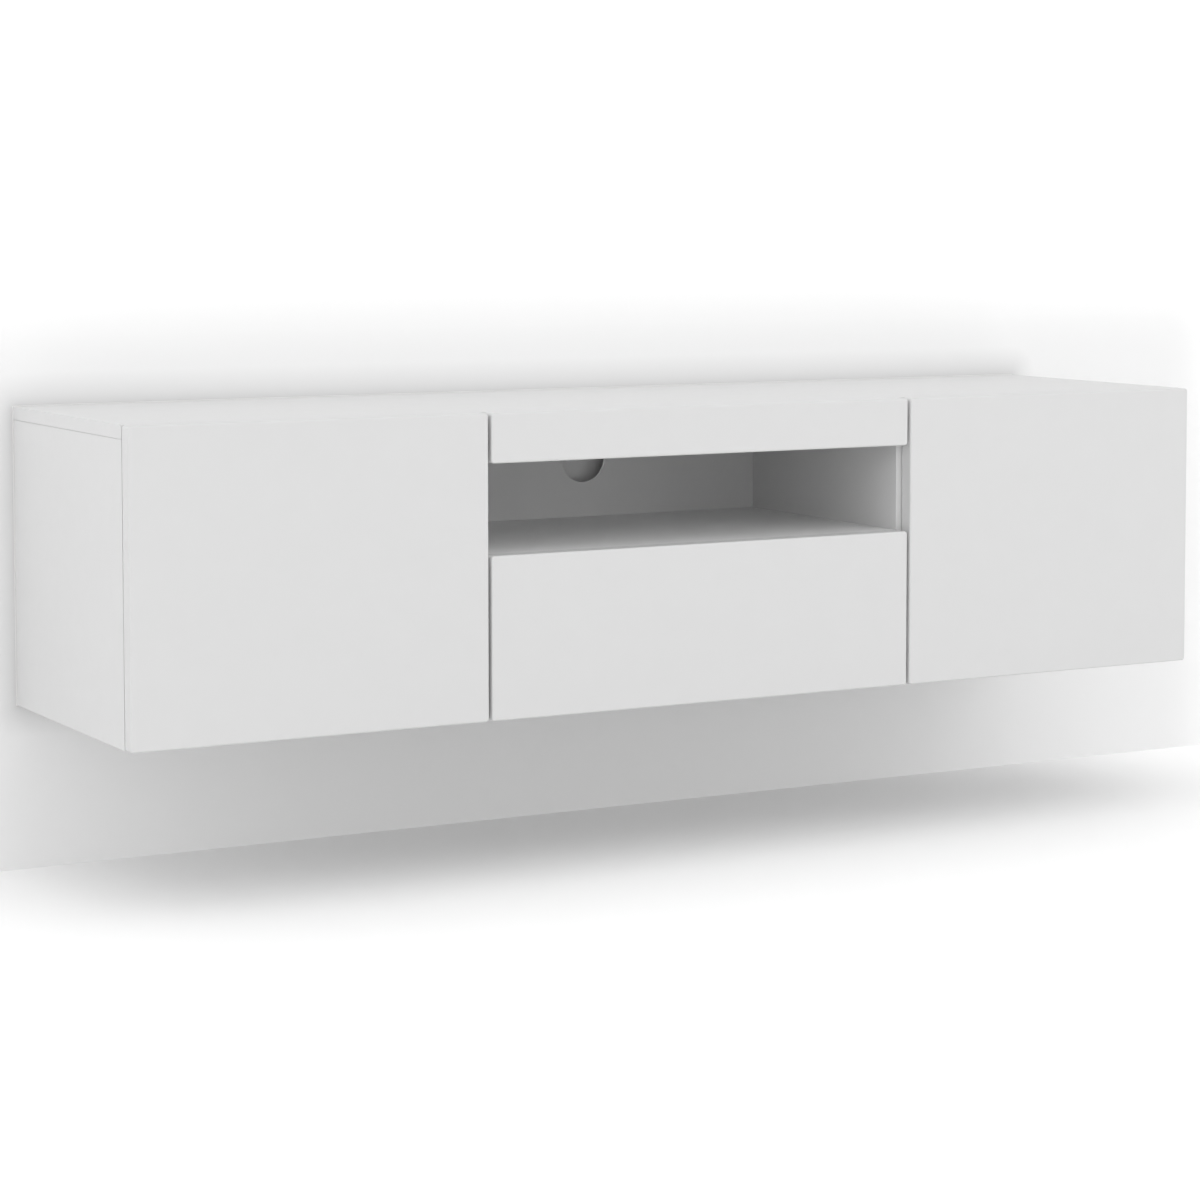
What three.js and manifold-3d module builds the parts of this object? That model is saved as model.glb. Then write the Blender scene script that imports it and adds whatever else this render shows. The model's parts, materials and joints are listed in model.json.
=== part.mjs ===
// A wall-hung media console: two side-hung doors, an open niche with a cable hole, and a drawer below it.
// Lengths are in millimetres. X runs from left to right, Y from the fronts back to the wall, and Z up.
// The pieces of one side are built for the left hand, and the right hand is their mirror image.

import * as THREE from "three";
import { mergeVertices } from "three/addons/utils/BufferGeometryUtils.js";
import Module from "manifold-3d";

const wasm = await Module();
wasm.setup();

// The whole console
const overallWidth = 1500;
const overallHeight = 368;
const overallDepth = 400;
const boardThickness = 16;
const seam = 0.3; // air between two pieces that meet
const overrun = 5; // how far a cutter passes the face that it opens
const fineFacets = 48;
const roundFacets = 24;
const smallFacets = 12;

// Fronts: doors, fascia and drawer front
const frontThickness = 19;
const frontGap = 2; // air between the doors and the carcass edges
const reveal = 4; // air between neighbouring fronts
const centreFrontWidth = 594;
const fasciaHeight = 60;
const drawerFrontHeight = 198;
const frontEdgeRadius = 2.5;
const frontCornerRadius = 4;
const edgeSteps = 4;

// Backs, and the grooves that hold them
const backThickness = 3;
const backSetback = 25;
const grooveDepth = 6;

// Niche
const nicheClearWidth = 586;
const cableHoleRadius = 32.5;
const cableHoleBelowTop = 91.5;
const cableHoleFromCentre = 27;

// Loose shelves behind the doors, their pins and the pin holes
const shelfPlay = 1;
const shelfFrontSetback = 12;
const pinRadius = 2.5;
const pinCollarRadius = 4;
const pinHeldLength = 8;
const pinFreeLength = 9;
const pinHoleDepth = 9;
const pinHolePitch = 32;
const pinHolesEachWay = 2;
const pinFromFront = 37;
const pinFromBack = 60;

// Concealed hinges: places are measured inboard and back from the axis that the door turns about
const hingeAxisInset = 6;
const hingeFromEnd = 72;
const cupFromDoorEdge = 22.5;
const cupRadius = 17.2;
const cupWall = 1;
const cupFloor = 0.8;
const cupDepth = 12;
const cupBoreFloor = 0.3;
const flangeThickness = 1;
const flangeRimRadius = 18.6;
const wingShift = 6;
const wingWidth = 14;
const wingHoleSpacing = 48;
const wingHoleRadius = 2;
const cupNotchWidth = 12;
const cupNotchReach = 4.5;
const cupNotchDepth = 6.3;
const cupPivotInboard = 4;
const cupPivotBack = 9;
const cupPivotRadius = 1.2;
const linkPivotInboard = 20;
const linkPivotBack = 7;
const linkPinRadius = 1.1;
const linkEyeRadius = 2.4;
const linkTipRadius = 1.4;
const linkThickness = 1.4;
const linkWidth = 9;
const linkBow = 3.6;
const linkOpenPivotPlay = 2;
const linkSteps = 8;
const armTipRadius = 2.6;
const armWall = 1.5;
const armRunning = 0.5; // side play between the arm's walls and the link
const armCrown = 24;
const armFoot = 13;
const armFootStart = 30;
const armNeck = 14;
const armEnd = 72;
const plateWingThickness = 2;
const plateWingWidth = 12;
const plateWingSpan = 52;
const plateScrewSpacing = 32;
const plateScrewRadius = 2.2;
const plateFromFront = 37;
const plateBlockStart = 32;
const plateBlockEnd = 70;

// Push latches under the top board, and the strike plates that they press on
const latchFromPartition = 14;
const latchWidth = 18;
const latchHeight = 15;
const latchLength = 70;
const latchSetback = 2;
const plungerRadius = 3;
const plungerLength = 54;
const plungerHeadRadius = 3.8;
const plungerHeadLength = 1.6;
const strikeWidth = 20;
const strikeHeight = 14;
const strikeThickness = 1;
const strikeCorner = 3;

// Wall fixing: a hanger in each upper rear corner, hooked over a plate on the wall
const hangerWidth = 18;
const hangerDepth = 46;
const hangerHeight = 42;
const hangerBelowTop = 4;
const hangerEdge = 3;
const hookWidth = 6;
const hookThickness = 4;
const hookRise = 24; // underside of the hook above the foot of the hanger
const hookDrop = 12;
const hookTipThickness = 2.8;
const hookWallClearance = 1.7;
const hookWindowMargin = 3;
const wallPlateSheet = 2.4;
const wallPlateWidth = 60;
const wallPlateScrewedHeight = 36;
const wallPlateStandoff = 7.5;
const wallPlateLipHeight = 16;
const wallPlateScrewSpacing = 32;
const wallPlateScrewRadius = 3;

// Drawer box and its three-part runners
const runnerSpace = 13;
const runnerRearClearance = 1;
const runnerHeight = 45;
const runnerSheet = 1.2;
const runnerRaceGap = 0.6;
const runnerSetback = 2;
const runnerCentreHeight = 74;
const runnerFlangeReach = 8;
const middleWebInset = 4.4;
const middleShortening = 1;
const drawerSideThickness = 12;
const drawerTopClearance = 30;
const drawerSideBase = 30;
const drawerBottomThickness = 6;
const drawerBottomRise = 8;
const drawerGrooveDepth = 6;

// Planes and edges that the sizes above fix
const sideX = -overallWidth / 2;
const sideInnerX = sideX + boardThickness;
const partitionInnerX = -nicheClearWidth / 2;
const partitionOuterX = partitionInnerX - boardThickness;
const frontY = -overallDepth;
const frontBackY = frontY + frontThickness;
const carcassFrontY = frontBackY + frontGap;
const backFaceY = -backSetback - backThickness;
const topUndersideZ = overallHeight - boardThickness;
const deckUndersideZ = drawerFrontHeight - boardThickness;
const doorFreeX = -centreFrontWidth / 2 - reveal;
const shelfHeight = (boardThickness + topUndersideZ) / 2 - boardThickness / 2;
const hingeHeights = [hingeFromEnd, overallHeight - hingeFromEnd];
const hingeAxisX = sideX + hingeAxisInset;
const hingeAxisY = frontY + hingeAxisInset;
const cupInboard = cupFromDoorEdge - hingeAxisInset;
const shelfDepthBackY = backFaceY - shelfPlay;
const shelfFrontY = carcassFrontY + shelfFrontSetback;
const runnerLength = backFaceY - runnerRearClearance - carcassFrontY - runnerSetback;
const drawerSideX = partitionInnerX + runnerSpace;
const drawerSideTopZ = deckUndersideZ - drawerTopClearance;

const finishes = {
  lacquer: { color: 0xecebe9, roughness: 0.45, metalness: 0 },
  board: { color: 0xe6e5e3, roughness: 0.55, metalness: 0 },
  hardboard: { color: 0xdcdbd8, roughness: 0.6, metalness: 0 },
  drawerBoard: { color: 0xdedcd8, roughness: 0.55, metalness: 0 },
  steel: { color: 0xb4b6b8, roughness: 0.35, metalness: 0.9 },
  nickel: { color: 0xc4c2bc, roughness: 0.25, metalness: 1 },
  greyPlastic: { color: 0x9a9c9e, roughness: 0.5, metalness: 0 },
};
const materials = Object.fromEntries(
  Object.entries(finishes).map(([name, look]) => [name, new THREE.MeshStandardMaterial(look)]),
);

// A named mesh of one piece
function piece(name, geometry, material) {
  const mesh = new THREE.Mesh(geometry, material);
  mesh.name = name;
  return mesh;
}

// A square-edged block between its lowest and its highest corner
function block(low, high) {
  const size = high.map((value, axis) => value - low[axis]);
  const centre = high.map((value, axis) => (value + low[axis]) / 2);
  return new THREE.BoxGeometry(...size).translate(...centre);
}

// A round bar from one end to the other
function bar(radius, start, end, facets = roundFacets) {
  const from = new THREE.Vector3(...start);
  const along = new THREE.Vector3(...end).sub(from);
  const geometry = new THREE.CylinderGeometry(radius, radius, along.length(), facets);
  const upright = new THREE.Vector3(0, 1, 0);
  geometry.applyQuaternion(new THREE.Quaternion().setFromUnitVectors(upright, along.clone().normalize()));
  const middle = from.addScaledVector(along, 1 / 2);
  return geometry.translate(middle.x, middle.y, middle.z);
}

// The closed solid of a geometry, for the cuts and joins
function solidOf(geometry) {
  const flat = geometry.index ? geometry.toNonIndexed() : geometry;
  const bare = new THREE.BufferGeometry().setAttribute("position", flat.getAttribute("position"));
  const merged = mergeVertices(bare);
  return new wasm.Manifold(
    new wasm.Mesh({
      numProp: 3,
      vertProperties: merged.getAttribute("position").array,
      triVerts: new Uint32Array(merged.index.array),
    }),
  );
}

// The geometry of a solid, with flat faces
function geometryOf(solid) {
  const mesh = solid.getMesh();
  const indexed = new THREE.BufferGeometry();
  indexed.setAttribute("position", new THREE.BufferAttribute(mesh.vertProperties, mesh.numProp));
  indexed.setIndex(new THREE.BufferAttribute(mesh.triVerts, 1));
  const flat = indexed.toNonIndexed();
  flat.computeVertexNormals();
  return flat;
}

// The base and its added parts joined, with the cutters taken out
function carved(base, { added = [], cutters = [] }) {
  let solid = solidOf(base);
  added.forEach((part) => (solid = solid.add(solidOf(part))));
  cutters.forEach((cutter) => (solid = solid.subtract(solidOf(cutter))));
  return geometryOf(solid);
}

// A rectangle with round corners, centred on a point
function roundedRectangle(width, height, radius, centre = [0, 0]) {
  const right = centre[0] + width / 2;
  const left = centre[0] - width / 2;
  const high = centre[1] + height / 2;
  const low = centre[1] - height / 2;
  const shape = new THREE.Shape();
  shape.moveTo(left + radius, low);
  shape.absarc(right - radius, low + radius, radius, -Math.PI / 2, 0);
  shape.absarc(right - radius, high - radius, radius, 0, Math.PI / 2);
  shape.absarc(left + radius, high - radius, radius, Math.PI / 2, Math.PI);
  shape.absarc(left + radius, low + radius, radius, Math.PI, Math.PI * 1.5);
  return shape;
}

// An outline in X and Z, given depth from the plane at backY towards the front
function facingFront(shape, depth, backY, curveSegments = edgeSteps) {
  const geometry = new THREE.ExtrudeGeometry(shape, { depth, bevelEnabled: false, curveSegments });
  return geometry.rotateX(Math.PI / 2).translate(0, backY, 0);
}

// An outline in X and Y, given height from lowZ upwards
function standing(shape, height, lowZ) {
  const geometry = new THREE.ExtrudeGeometry(shape, {
    depth: height,
    bevelEnabled: false,
    curveSegments: smallFacets,
  });
  return geometry.translate(0, 0, lowZ);
}

// A front panel with round corners and a softened front edge, flat behind
function frontPanel(lowX, highX, lowZ, highZ, backY, extraCutters = []) {
  const width = highX - lowX;
  const height = highZ - lowZ;
  const centre = [(lowX + highX) / 2, (lowZ + highZ) / 2];
  const shape = roundedRectangle(width, height, frontCornerRadius, centre);
  const geometry = new THREE.ExtrudeGeometry(shape, {
    depth: backY - frontY - frontEdgeRadius + overrun,
    bevelEnabled: true,
    bevelThickness: frontEdgeRadius,
    bevelSize: frontEdgeRadius,
    bevelOffset: -frontEdgeRadius,
    bevelSegments: edgeSteps,
    curveSegments: edgeSteps,
  });
  geometry.rotateX(Math.PI / 2).translate(0, backY + overrun, 0);
  const behind = block(
    [lowX - overrun, backY, lowZ - overrun],
    [highX + overrun, backY + overrun * 2, highZ + overrun],
  );
  return carved(geometry, { cutters: [behind, ...extraCutters] });
}

// The groove for a back panel, as a cutter between two corners in X and Z
function backGroove(lowX, highX, lowZ, highZ) {
  return block([lowX, backFaceY - seam, lowZ], [highX, -backSetback + seam, highZ]);
}

// The row of shelf-pin holes at one depth, bored from a face towards outwardX
function pinHoleRow(faceX, outwardX, y) {
  const holes = [];
  for (let step = -pinHolesEachWay; step <= pinHolesEachWay; step += 1) {
    const z = shelfHeight - pinRadius - seam + step * pinHolePitch;
    holes.push(
      bar(
        pinRadius + seam,
        [faceX - outwardX * overrun, y, z],
        [faceX + outwardX * (pinHoleDepth + seam), y, z],
        smallFacets,
      ),
    );
  }
  return holes;
}

const pinRowsY = [carcassFrontY + pinFromFront, backFaceY - pinFromBack];

// Boards of the whole width

function topBoard() {
  const base = block([sideX, carcassFrontY, topUndersideZ], [-sideX, 0, overallHeight]);
  const grooveTop = topUndersideZ + grooveDepth + seam;
  const cutters = [
    backGroove(sideInnerX - grooveDepth - seam, -sideInnerX + grooveDepth + seam, topUndersideZ - overrun, grooveTop),
  ];
  return piece("top_board", carved(base, { cutters }), materials.board);
}

function bottomBoard() {
  const reach = sideInnerX + seam;
  const base = block([reach, carcassFrontY, 0], [-reach, 0, boardThickness]);
  const grooveFoot = boardThickness - grooveDepth - seam;
  const cutters = [
    backGroove(reach - overrun, -reach + overrun, grooveFoot, boardThickness + overrun),
  ];
  return piece("bottom_board", carved(base, { cutters }), materials.board);
}

// Niche: its floor, its back with the cable hole, and the fascia above it

function nicheDeck() {
  const reach = partitionInnerX + seam;
  const geometry = block([reach, carcassFrontY, deckUndersideZ], [-reach, backFaceY - seam, drawerFrontHeight]);
  return piece("niche_deck", geometry, materials.board);
}

function nicheBack() {
  const reach = partitionInnerX - grooveDepth;
  const base = block(
    [reach, backFaceY, boardThickness - grooveDepth],
    [-reach, -backSetback, topUndersideZ + grooveDepth],
  );
  const holeZ = overallHeight - cableHoleBelowTop;
  const hole = bar(
    cableHoleRadius,
    [cableHoleFromCentre, backFaceY - overrun, holeZ],
    [cableHoleFromCentre, -backSetback + overrun, holeZ],
    fineFacets,
  );
  return piece("niche_back_panel", carved(base, { cutters: [hole] }), materials.board);
}

function fasciaStrip() {
  const reach = centreFrontWidth / 2;
  const geometry = frontPanel(-reach, reach, overallHeight - fasciaHeight, overallHeight, carcassFrontY - seam);
  return piece("fascia_strip", geometry, materials.lacquer);
}

// Boards of one side, for the left hand

function sidePanel(hand) {
  const high = topUndersideZ - seam;
  const base = block([sideX, carcassFrontY, 0], [sideInnerX, 0, high]);
  const groove = backGroove(
    sideInnerX - grooveDepth - seam,
    sideInnerX + overrun,
    boardThickness - grooveDepth - seam,
    high + overrun,
  );
  const cutters = [groove, ...pinRowsY.flatMap((y) => pinHoleRow(sideInnerX, -1, y))];
  return piece(`${hand}_side_panel`, carved(base, { cutters }), materials.board);
}

function partition(hand) {
  const low = boardThickness + seam;
  const high = topUndersideZ - seam;
  const base = block([partitionOuterX, carcassFrontY, low], [partitionInnerX, 0, high]);
  const outerGroove = backGroove(
    partitionOuterX - overrun,
    partitionOuterX + grooveDepth + seam,
    low - overrun,
    high + overrun,
  );
  const innerGroove = backGroove(
    partitionInnerX - grooveDepth - seam,
    partitionInnerX + overrun,
    low - overrun,
    high + overrun,
  );
  const holes = pinRowsY.flatMap((y) => pinHoleRow(partitionOuterX, 1, y));
  return piece(
    `${hand}_partition`,
    carved(base, { cutters: [outerGroove, innerGroove, ...holes] }),
    materials.board,
  );
}

const hangerFootZ = topUndersideZ - hangerBelowTop - hangerHeight;
const hookUndersideZ = hangerFootZ + hookRise;
const hookLowX = sideInnerX + seam + (hangerWidth - hookWidth) / 2;

function backPanel(hand) {
  const base = block(
    [sideInnerX - grooveDepth, backFaceY, boardThickness - grooveDepth],
    [partitionOuterX + grooveDepth, -backSetback, topUndersideZ + grooveDepth],
  );
  const hookWindow = block(
    [
      hookLowX - hookWindowMargin,
      backFaceY - overrun,
      hookUndersideZ - hookDrop - hookWindowMargin,
    ],
    [
      hookLowX + hookWidth + hookWindowMargin,
      -backSetback + overrun,
      hookUndersideZ + hookThickness + hookWindowMargin,
    ],
  );
  return piece(`${hand}_back_panel`, carved(base, { cutters: [hookWindow] }), materials.hardboard);
}

function looseShelf(hand) {
  const geometry = block(
    [sideInnerX + shelfPlay, shelfFrontY, shelfHeight],
    [partitionOuterX - shelfPlay, shelfDepthBackY, shelfHeight + boardThickness],
  );
  return piece(`${hand}_shelf`, geometry, materials.board);
}

// A shelf pin in a hole of one face, reaching inwardX into the compartment
function shelfPin(name, faceX, inwardX, y) {
  const z = shelfHeight - pinRadius - seam;
  const heldEnd = [faceX - inwardX * pinHeldLength, y, z];
  const freeEnd = [faceX + inwardX * pinFreeLength, y, z];
  const collarStart = [faceX + inwardX * seam, y, z];
  const collarEnd = [faceX + inwardX * (shelfPlay - seam), y, z];
  const geometry = carved(bar(pinRadius, heldEnd, freeEnd, smallFacets), {
    added: [bar(pinCollarRadius, collarStart, collarEnd, smallFacets)],
  });
  return piece(name, geometry, materials.steel);
}

function shelfPins(hand) {
  const faces = [
    ["outer", sideInnerX, 1],
    ["inner", partitionOuterX, -1],
  ];
  const depths = [
    ["front", pinRowsY[0]],
    ["rear", pinRowsY[1]],
  ];
  return faces.flatMap(([side, faceX, inwardX]) =>
    depths.map(([end, y]) => shelfPin(`${hand}_${side}_${end}_shelf_pin`, faceX, inwardX, y)),
  );
}

// Door of the left hand, with the bores for its hinge cups

function doorPanel(hand) {
  const bores = hingeHeights.map((z) =>
    bar(
      cupRadius + seam,
      [hingeAxisX + cupInboard, frontBackY - cupDepth - cupBoreFloor, z],
      [hingeAxisX + cupInboard, frontBackY + overrun, z],
      fineFacets,
    ),
  );
  const geometry = frontPanel(sideX, doorFreeX, 0, overallHeight, frontBackY, bores);
  return piece(`${hand}_door_panel`, geometry, materials.lacquer);
}

// A point of a hinge, from its distances inboard of and behind the door's axis
function hingePoint(inboard, back, z) {
  return [hingeAxisX + inboard, hingeAxisY + back, z];
}

const doorBackReach = frontThickness - hingeAxisInset;
const flangeLowReach = doorBackReach + seam;
const flangeHighReach = flangeLowReach + flangeThickness;

// The hinge cup: a pot sunk in the door, with a screwed flange and two stubs where the link ends
function hingeCup(name, height) {
  const outside = bar(
    cupRadius,
    hingePoint(cupInboard, doorBackReach - cupDepth, height),
    hingePoint(cupInboard, flangeHighReach, height),
    fineFacets,
  );
  const rim = bar(
    flangeRimRadius,
    hingePoint(cupInboard, flangeLowReach, height),
    hingePoint(cupInboard, flangeHighReach, height),
    fineFacets,
  );
  const wingLength = wingHoleSpacing + wingWidth;
  const wingCentre = [hingeAxisX + cupInboard + wingShift, height];
  const wings = facingFront(
    roundedRectangle(wingWidth, wingLength, wingWidth / 2, wingCentre),
    flangeThickness,
    hingeAxisY + flangeHighReach,
  );
  const hollow = bar(
    cupRadius - cupWall,
    hingePoint(cupInboard, doorBackReach - cupDepth + cupFloor, height),
    hingePoint(cupInboard, flangeHighReach + overrun, height),
    fineFacets,
  );
  const notch = block(
    hingePoint(-cupNotchReach, doorBackReach - cupDepth + cupNotchDepth, height - cupNotchWidth / 2),
    hingePoint(cupNotchReach, flangeHighReach + overrun, height + cupNotchWidth / 2),
  );
  const screwHoles = [-1, 1].map((way) =>
    bar(
      wingHoleRadius,
      hingePoint(cupInboard + wingShift, flangeLowReach - overrun, height + (way * wingHoleSpacing) / 2),
      hingePoint(cupInboard + wingShift, flangeHighReach + overrun, height + (way * wingHoleSpacing) / 2),
      smallFacets,
    ),
  );
  const pot = carved(outside, { added: [rim, wings], cutters: [hollow, notch, ...screwHoles] });
  const stubInner = linkWidth / 2 + armRunning;
  const wallOffset = cupInboard - cupPivotInboard + cupPivotRadius;
  const stubOuter = Math.sqrt((cupRadius - cupWall / 2) ** 2 - wallOffset ** 2);
  const stubs = [-1, 1].map((way) =>
    bar(
      cupPivotRadius,
      hingePoint(cupPivotInboard, cupPivotBack, height + way * stubInner),
      hingePoint(cupPivotInboard, cupPivotBack, height + way * stubOuter),
      smallFacets,
    ),
  );
  return piece(name, carved(pot, { added: stubs }), materials.nickel);
}

// The hinge arm: a channel that comes forward over its plate, with a forked tip and the link's pin
function hingeArm(name, height) {
  const wallInner = linkWidth / 2 + armRunning;
  const wallOuter = wallInner + armWall;
  const outline = new THREE.Shape();
  const tipX = hingeAxisX + linkPivotInboard;
  const tipY = hingeAxisY + linkPivotBack;
  outline.absarc(tipX, tipY, armTipRadius, Math.PI, Math.PI * 2);
  outline.lineTo(hingeAxisX + armCrown, hingeAxisY + armNeck);
  outline.lineTo(hingeAxisX + armCrown, hingeAxisY + armEnd);
  outline.lineTo(hingeAxisX + armFoot, hingeAxisY + armEnd);
  outline.lineTo(hingeAxisX + armFoot, hingeAxisY + armFootStart);
  outline.lineTo(tipX - armTipRadius, hingeAxisY + armNeck);
  const upperWall = standing(outline, armWall, height + wallInner);
  const lowerWall = standing(outline, armWall, height - wallOuter);
  const crown = block(
    hingePoint(armCrown - armWall, armNeck, height - wallOuter),
    hingePoint(armCrown, armEnd, height + wallOuter),
  );
  const pin = bar(
    linkPinRadius,
    hingePoint(linkPivotInboard, linkPivotBack, height - wallOuter),
    hingePoint(linkPivotInboard, linkPivotBack, height + wallOuter),
    smallFacets,
  );
  return piece(name, carved(upperWall, { added: [lowerWall, crown, pin] }), materials.nickel);
}

// The mounting plate: a block that the arm clips over, with two screwed wings on the side panel
function hingePlate(name, height) {
  const faceInboard = boardThickness - hingeAxisInset + seam;
  const blockHalf = linkWidth / 2 + armRunning - seam;
  const wingMiddle = carcassFrontY - hingeAxisY + plateFromFront;
  const core = block(
    hingePoint(faceInboard, plateBlockStart, height - blockHalf),
    hingePoint(armCrown - armWall - seam, plateBlockEnd, height + blockHalf),
  );
  const wings = block(
    hingePoint(faceInboard, wingMiddle - plateWingWidth / 2, height - plateWingSpan / 2),
    hingePoint(faceInboard + plateWingThickness, wingMiddle + plateWingWidth / 2, height + plateWingSpan / 2),
  );
  const screwHoles = [-1, 1].map((way) =>
    bar(
      plateScrewRadius,
      hingePoint(faceInboard - overrun, wingMiddle, height + (way * plateScrewSpacing) / 2),
      hingePoint(faceInboard + plateWingThickness + overrun, wingMiddle, height + (way * plateScrewSpacing) / 2),
      smallFacets,
    ),
  );
  return piece(name, carved(core, { added: [wings], cutters: screwHoles }), materials.nickel);
}

// The link: a bowed strap from the arm's pin to the cup, with its cup end left open
function hingeLink(name, height) {
  const start = new THREE.Vector2(hingeAxisX + linkPivotInboard, hingeAxisY + linkPivotBack);
  const cupEnd = new THREE.Vector2(hingeAxisX + cupPivotInboard, hingeAxisY + cupPivotBack);
  const along = cupEnd.clone().sub(start);
  const length = along.length() - linkOpenPivotPlay;
  along.normalize();
  const across = new THREE.Vector2(-along.y, along.x);
  const place = (reach, bow) => start.clone().addScaledVector(along, reach).addScaledVector(across, bow);
  const pull = linkBow / 0.75; // a cubic with both controls pulled out this far bows by three quarters of it
  const curve = new THREE.CubicBezierCurve(place(0, 0), place(0, pull), place(length, pull), place(length, 0));
  const stations = [...Array(linkSteps + 1).keys()].map((step) => step / linkSteps);
  const edge = (way) =>
    stations.map((share) => {
      const tangent = curve.getTangent(share);
      const normal = new THREE.Vector2(-tangent.y, tangent.x);
      return curve.getPoint(share).addScaledVector(normal, (way * linkThickness) / 2);
    });
  const strap = standing(new THREE.Shape([...edge(-1), ...edge(1).reverse()]), linkWidth, height - linkWidth / 2);
  const post = (radius, centre, extra) =>
    bar(
      radius,
      [centre.x, centre.y, height - linkWidth / 2 - extra],
      [centre.x, centre.y, height + linkWidth / 2 + extra],
    );
  const eye = post(linkEyeRadius, start, 0);
  const tip = post(linkTipRadius, place(length, 0), 0);
  const bore = post(linkPinRadius + seam, start, overrun);
  return piece(name, carved(strap, { added: [eye, tip], cutters: [bore] }), materials.nickel);
}

function hinges(hand) {
  const levels = ["lower", "upper"];
  return hingeHeights.flatMap((height, index) => [
    hingeCup(`${hand}_${levels[index]}_hinge_cup`, height),
    hingeArm(`${hand}_${levels[index]}_hinge_arm`, height),
    hingePlate(`${hand}_${levels[index]}_hinge_plate`, height),
    hingeLink(`${hand}_${levels[index]}_hinge_link`, height),
  ]);
}

// Push latch of the left hand

const latchX = partitionOuterX - latchFromPartition;
const latchHighZ = topUndersideZ - seam;
const latchAxisZ = latchHighZ - latchHeight / 2;
const strikeFaceY = frontBackY + seam + strikeThickness;

function latchHousing(hand) {
  const low = [latchX - latchWidth / 2, carcassFrontY + latchSetback, latchHighZ - latchHeight];
  const high = [latchX + latchWidth / 2, carcassFrontY + latchSetback + latchLength, latchHighZ];
  const boreEndY = strikeFaceY + seam + plungerLength + seam;
  const bore = bar(
    plungerRadius + seam,
    [latchX, low[1] - overrun, latchAxisZ],
    [latchX, boreEndY, latchAxisZ],
    smallFacets,
  );
  const geometry = carved(block(low, high), { cutters: [bore] });
  return piece(`${hand}_push_latch`, geometry, materials.greyPlastic);
}

function latchPlunger(hand) {
  const tipY = strikeFaceY + seam;
  const rod = bar(
    plungerRadius,
    [latchX, tipY, latchAxisZ],
    [latchX, tipY + plungerLength, latchAxisZ],
    smallFacets,
  );
  const head = bar(
    plungerHeadRadius,
    [latchX, tipY, latchAxisZ],
    [latchX, tipY + plungerHeadLength, latchAxisZ],
    smallFacets,
  );
  return piece(`${hand}_latch_plunger`, carved(rod, { added: [head] }), materials.greyPlastic);
}

function strikePlate(hand) {
  const shape = roundedRectangle(strikeWidth, strikeHeight, strikeCorner, [latchX, latchAxisZ]);
  const geometry = facingFront(shape, strikeThickness, strikeFaceY);
  return piece(`${hand}_strike_plate`, geometry, materials.steel);
}

// Wall fixing of the left hand

function wallHanger(hand) {
  const housingShape = roundedRectangle(hangerDepth, hangerHeight, hangerEdge, [
    backFaceY - seam - hangerDepth / 2,
    hangerFootZ + hangerHeight / 2,
  ]);
  const sideways = (shape, width, lowX) => {
    const geometry = new THREE.ExtrudeGeometry(shape, {
      depth: width,
      bevelEnabled: false,
      curveSegments: edgeSteps,
    });
    return geometry.rotateX(Math.PI / 2).rotateZ(Math.PI / 2).translate(lowX, 0, 0);
  };
  const hookTopZ = hookUndersideZ + hookThickness;
  const hook = new THREE.Shape();
  hook.moveTo(backFaceY - seam - overrun, hookUndersideZ);
  hook.lineTo(-hookWallClearance - hookTipThickness, hookUndersideZ);
  hook.lineTo(-hookWallClearance - hookTipThickness, hookUndersideZ - hookDrop);
  hook.lineTo(-hookWallClearance, hookUndersideZ - hookDrop);
  hook.lineTo(-hookWallClearance, hookTopZ);
  hook.lineTo(backFaceY - seam - overrun, hookTopZ);
  const housing = sideways(housingShape, hangerWidth, sideInnerX + seam);
  const geometry = carved(housing, { added: [sideways(hook, hookWidth, hookLowX)] });
  return piece(`${hand}_wall_hanger`, geometry, materials.steel);
}

function wallPlate(hand) {
  const lowX = sideInnerX + seam;
  const highX = lowX + wallPlateWidth;
  const lipTopZ = hookUndersideZ - seam;
  const stepTopZ = lipTopZ - wallPlateLipHeight + wallPlateSheet;
  const lip = block(
    [lowX, -wallPlateStandoff, stepTopZ - wallPlateSheet],
    [highX, -wallPlateStandoff + wallPlateSheet, lipTopZ],
  );
  const step = block([lowX, -wallPlateStandoff, stepTopZ - wallPlateSheet], [highX, 0, stepTopZ]);
  const screwed = block([lowX, -wallPlateSheet, stepTopZ - wallPlateScrewedHeight], [highX, 0, stepTopZ]);
  const middleX = (lowX + highX) / 2;
  const holeZ = stepTopZ - wallPlateScrewedHeight / 2;
  const holes = [-1, 1].map((way) =>
    bar(
      wallPlateScrewRadius,
      [middleX + (way * wallPlateScrewSpacing) / 2, -wallPlateSheet - overrun, holeZ],
      [middleX + (way * wallPlateScrewSpacing) / 2, overrun, holeZ],
      roundFacets,
    ),
  );
  const geometry = carved(lip, { added: [step, screwed], cutters: holes });
  return piece(`${hand}_wall_plate`, geometry, materials.steel);
}

// Drawer runner of the left hand: a channel on the partition, one between, and one on the drawer

function runnerChannel(lowX, highX, webX, halfHeight, shortening) {
  const lowY = carcassFrontY + runnerSetback + shortening;
  const highY = carcassFrontY + runnerSetback + runnerLength - shortening;
  const web = block(
    [webX, lowY, runnerCentreHeight - halfHeight],
    [webX + runnerSheet, highY, runnerCentreHeight + halfHeight],
  );
  const flanges = [-1, 1].map((way) => {
    const outer = runnerCentreHeight + way * halfHeight;
    const inner = runnerCentreHeight + way * (halfHeight - runnerSheet);
    return block([lowX, lowY, Math.min(outer, inner)], [highX, highY, Math.max(outer, inner)]);
  });
  return carved(web, { added: flanges });
}

const runnerLowX = partitionInnerX + seam;
const runnerHighX = drawerSideX - seam;
const middleHalfHeight = runnerHeight / 2 - runnerSheet - runnerRaceGap;
const innerHalfHeight = middleHalfHeight - runnerSheet - runnerRaceGap;

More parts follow.
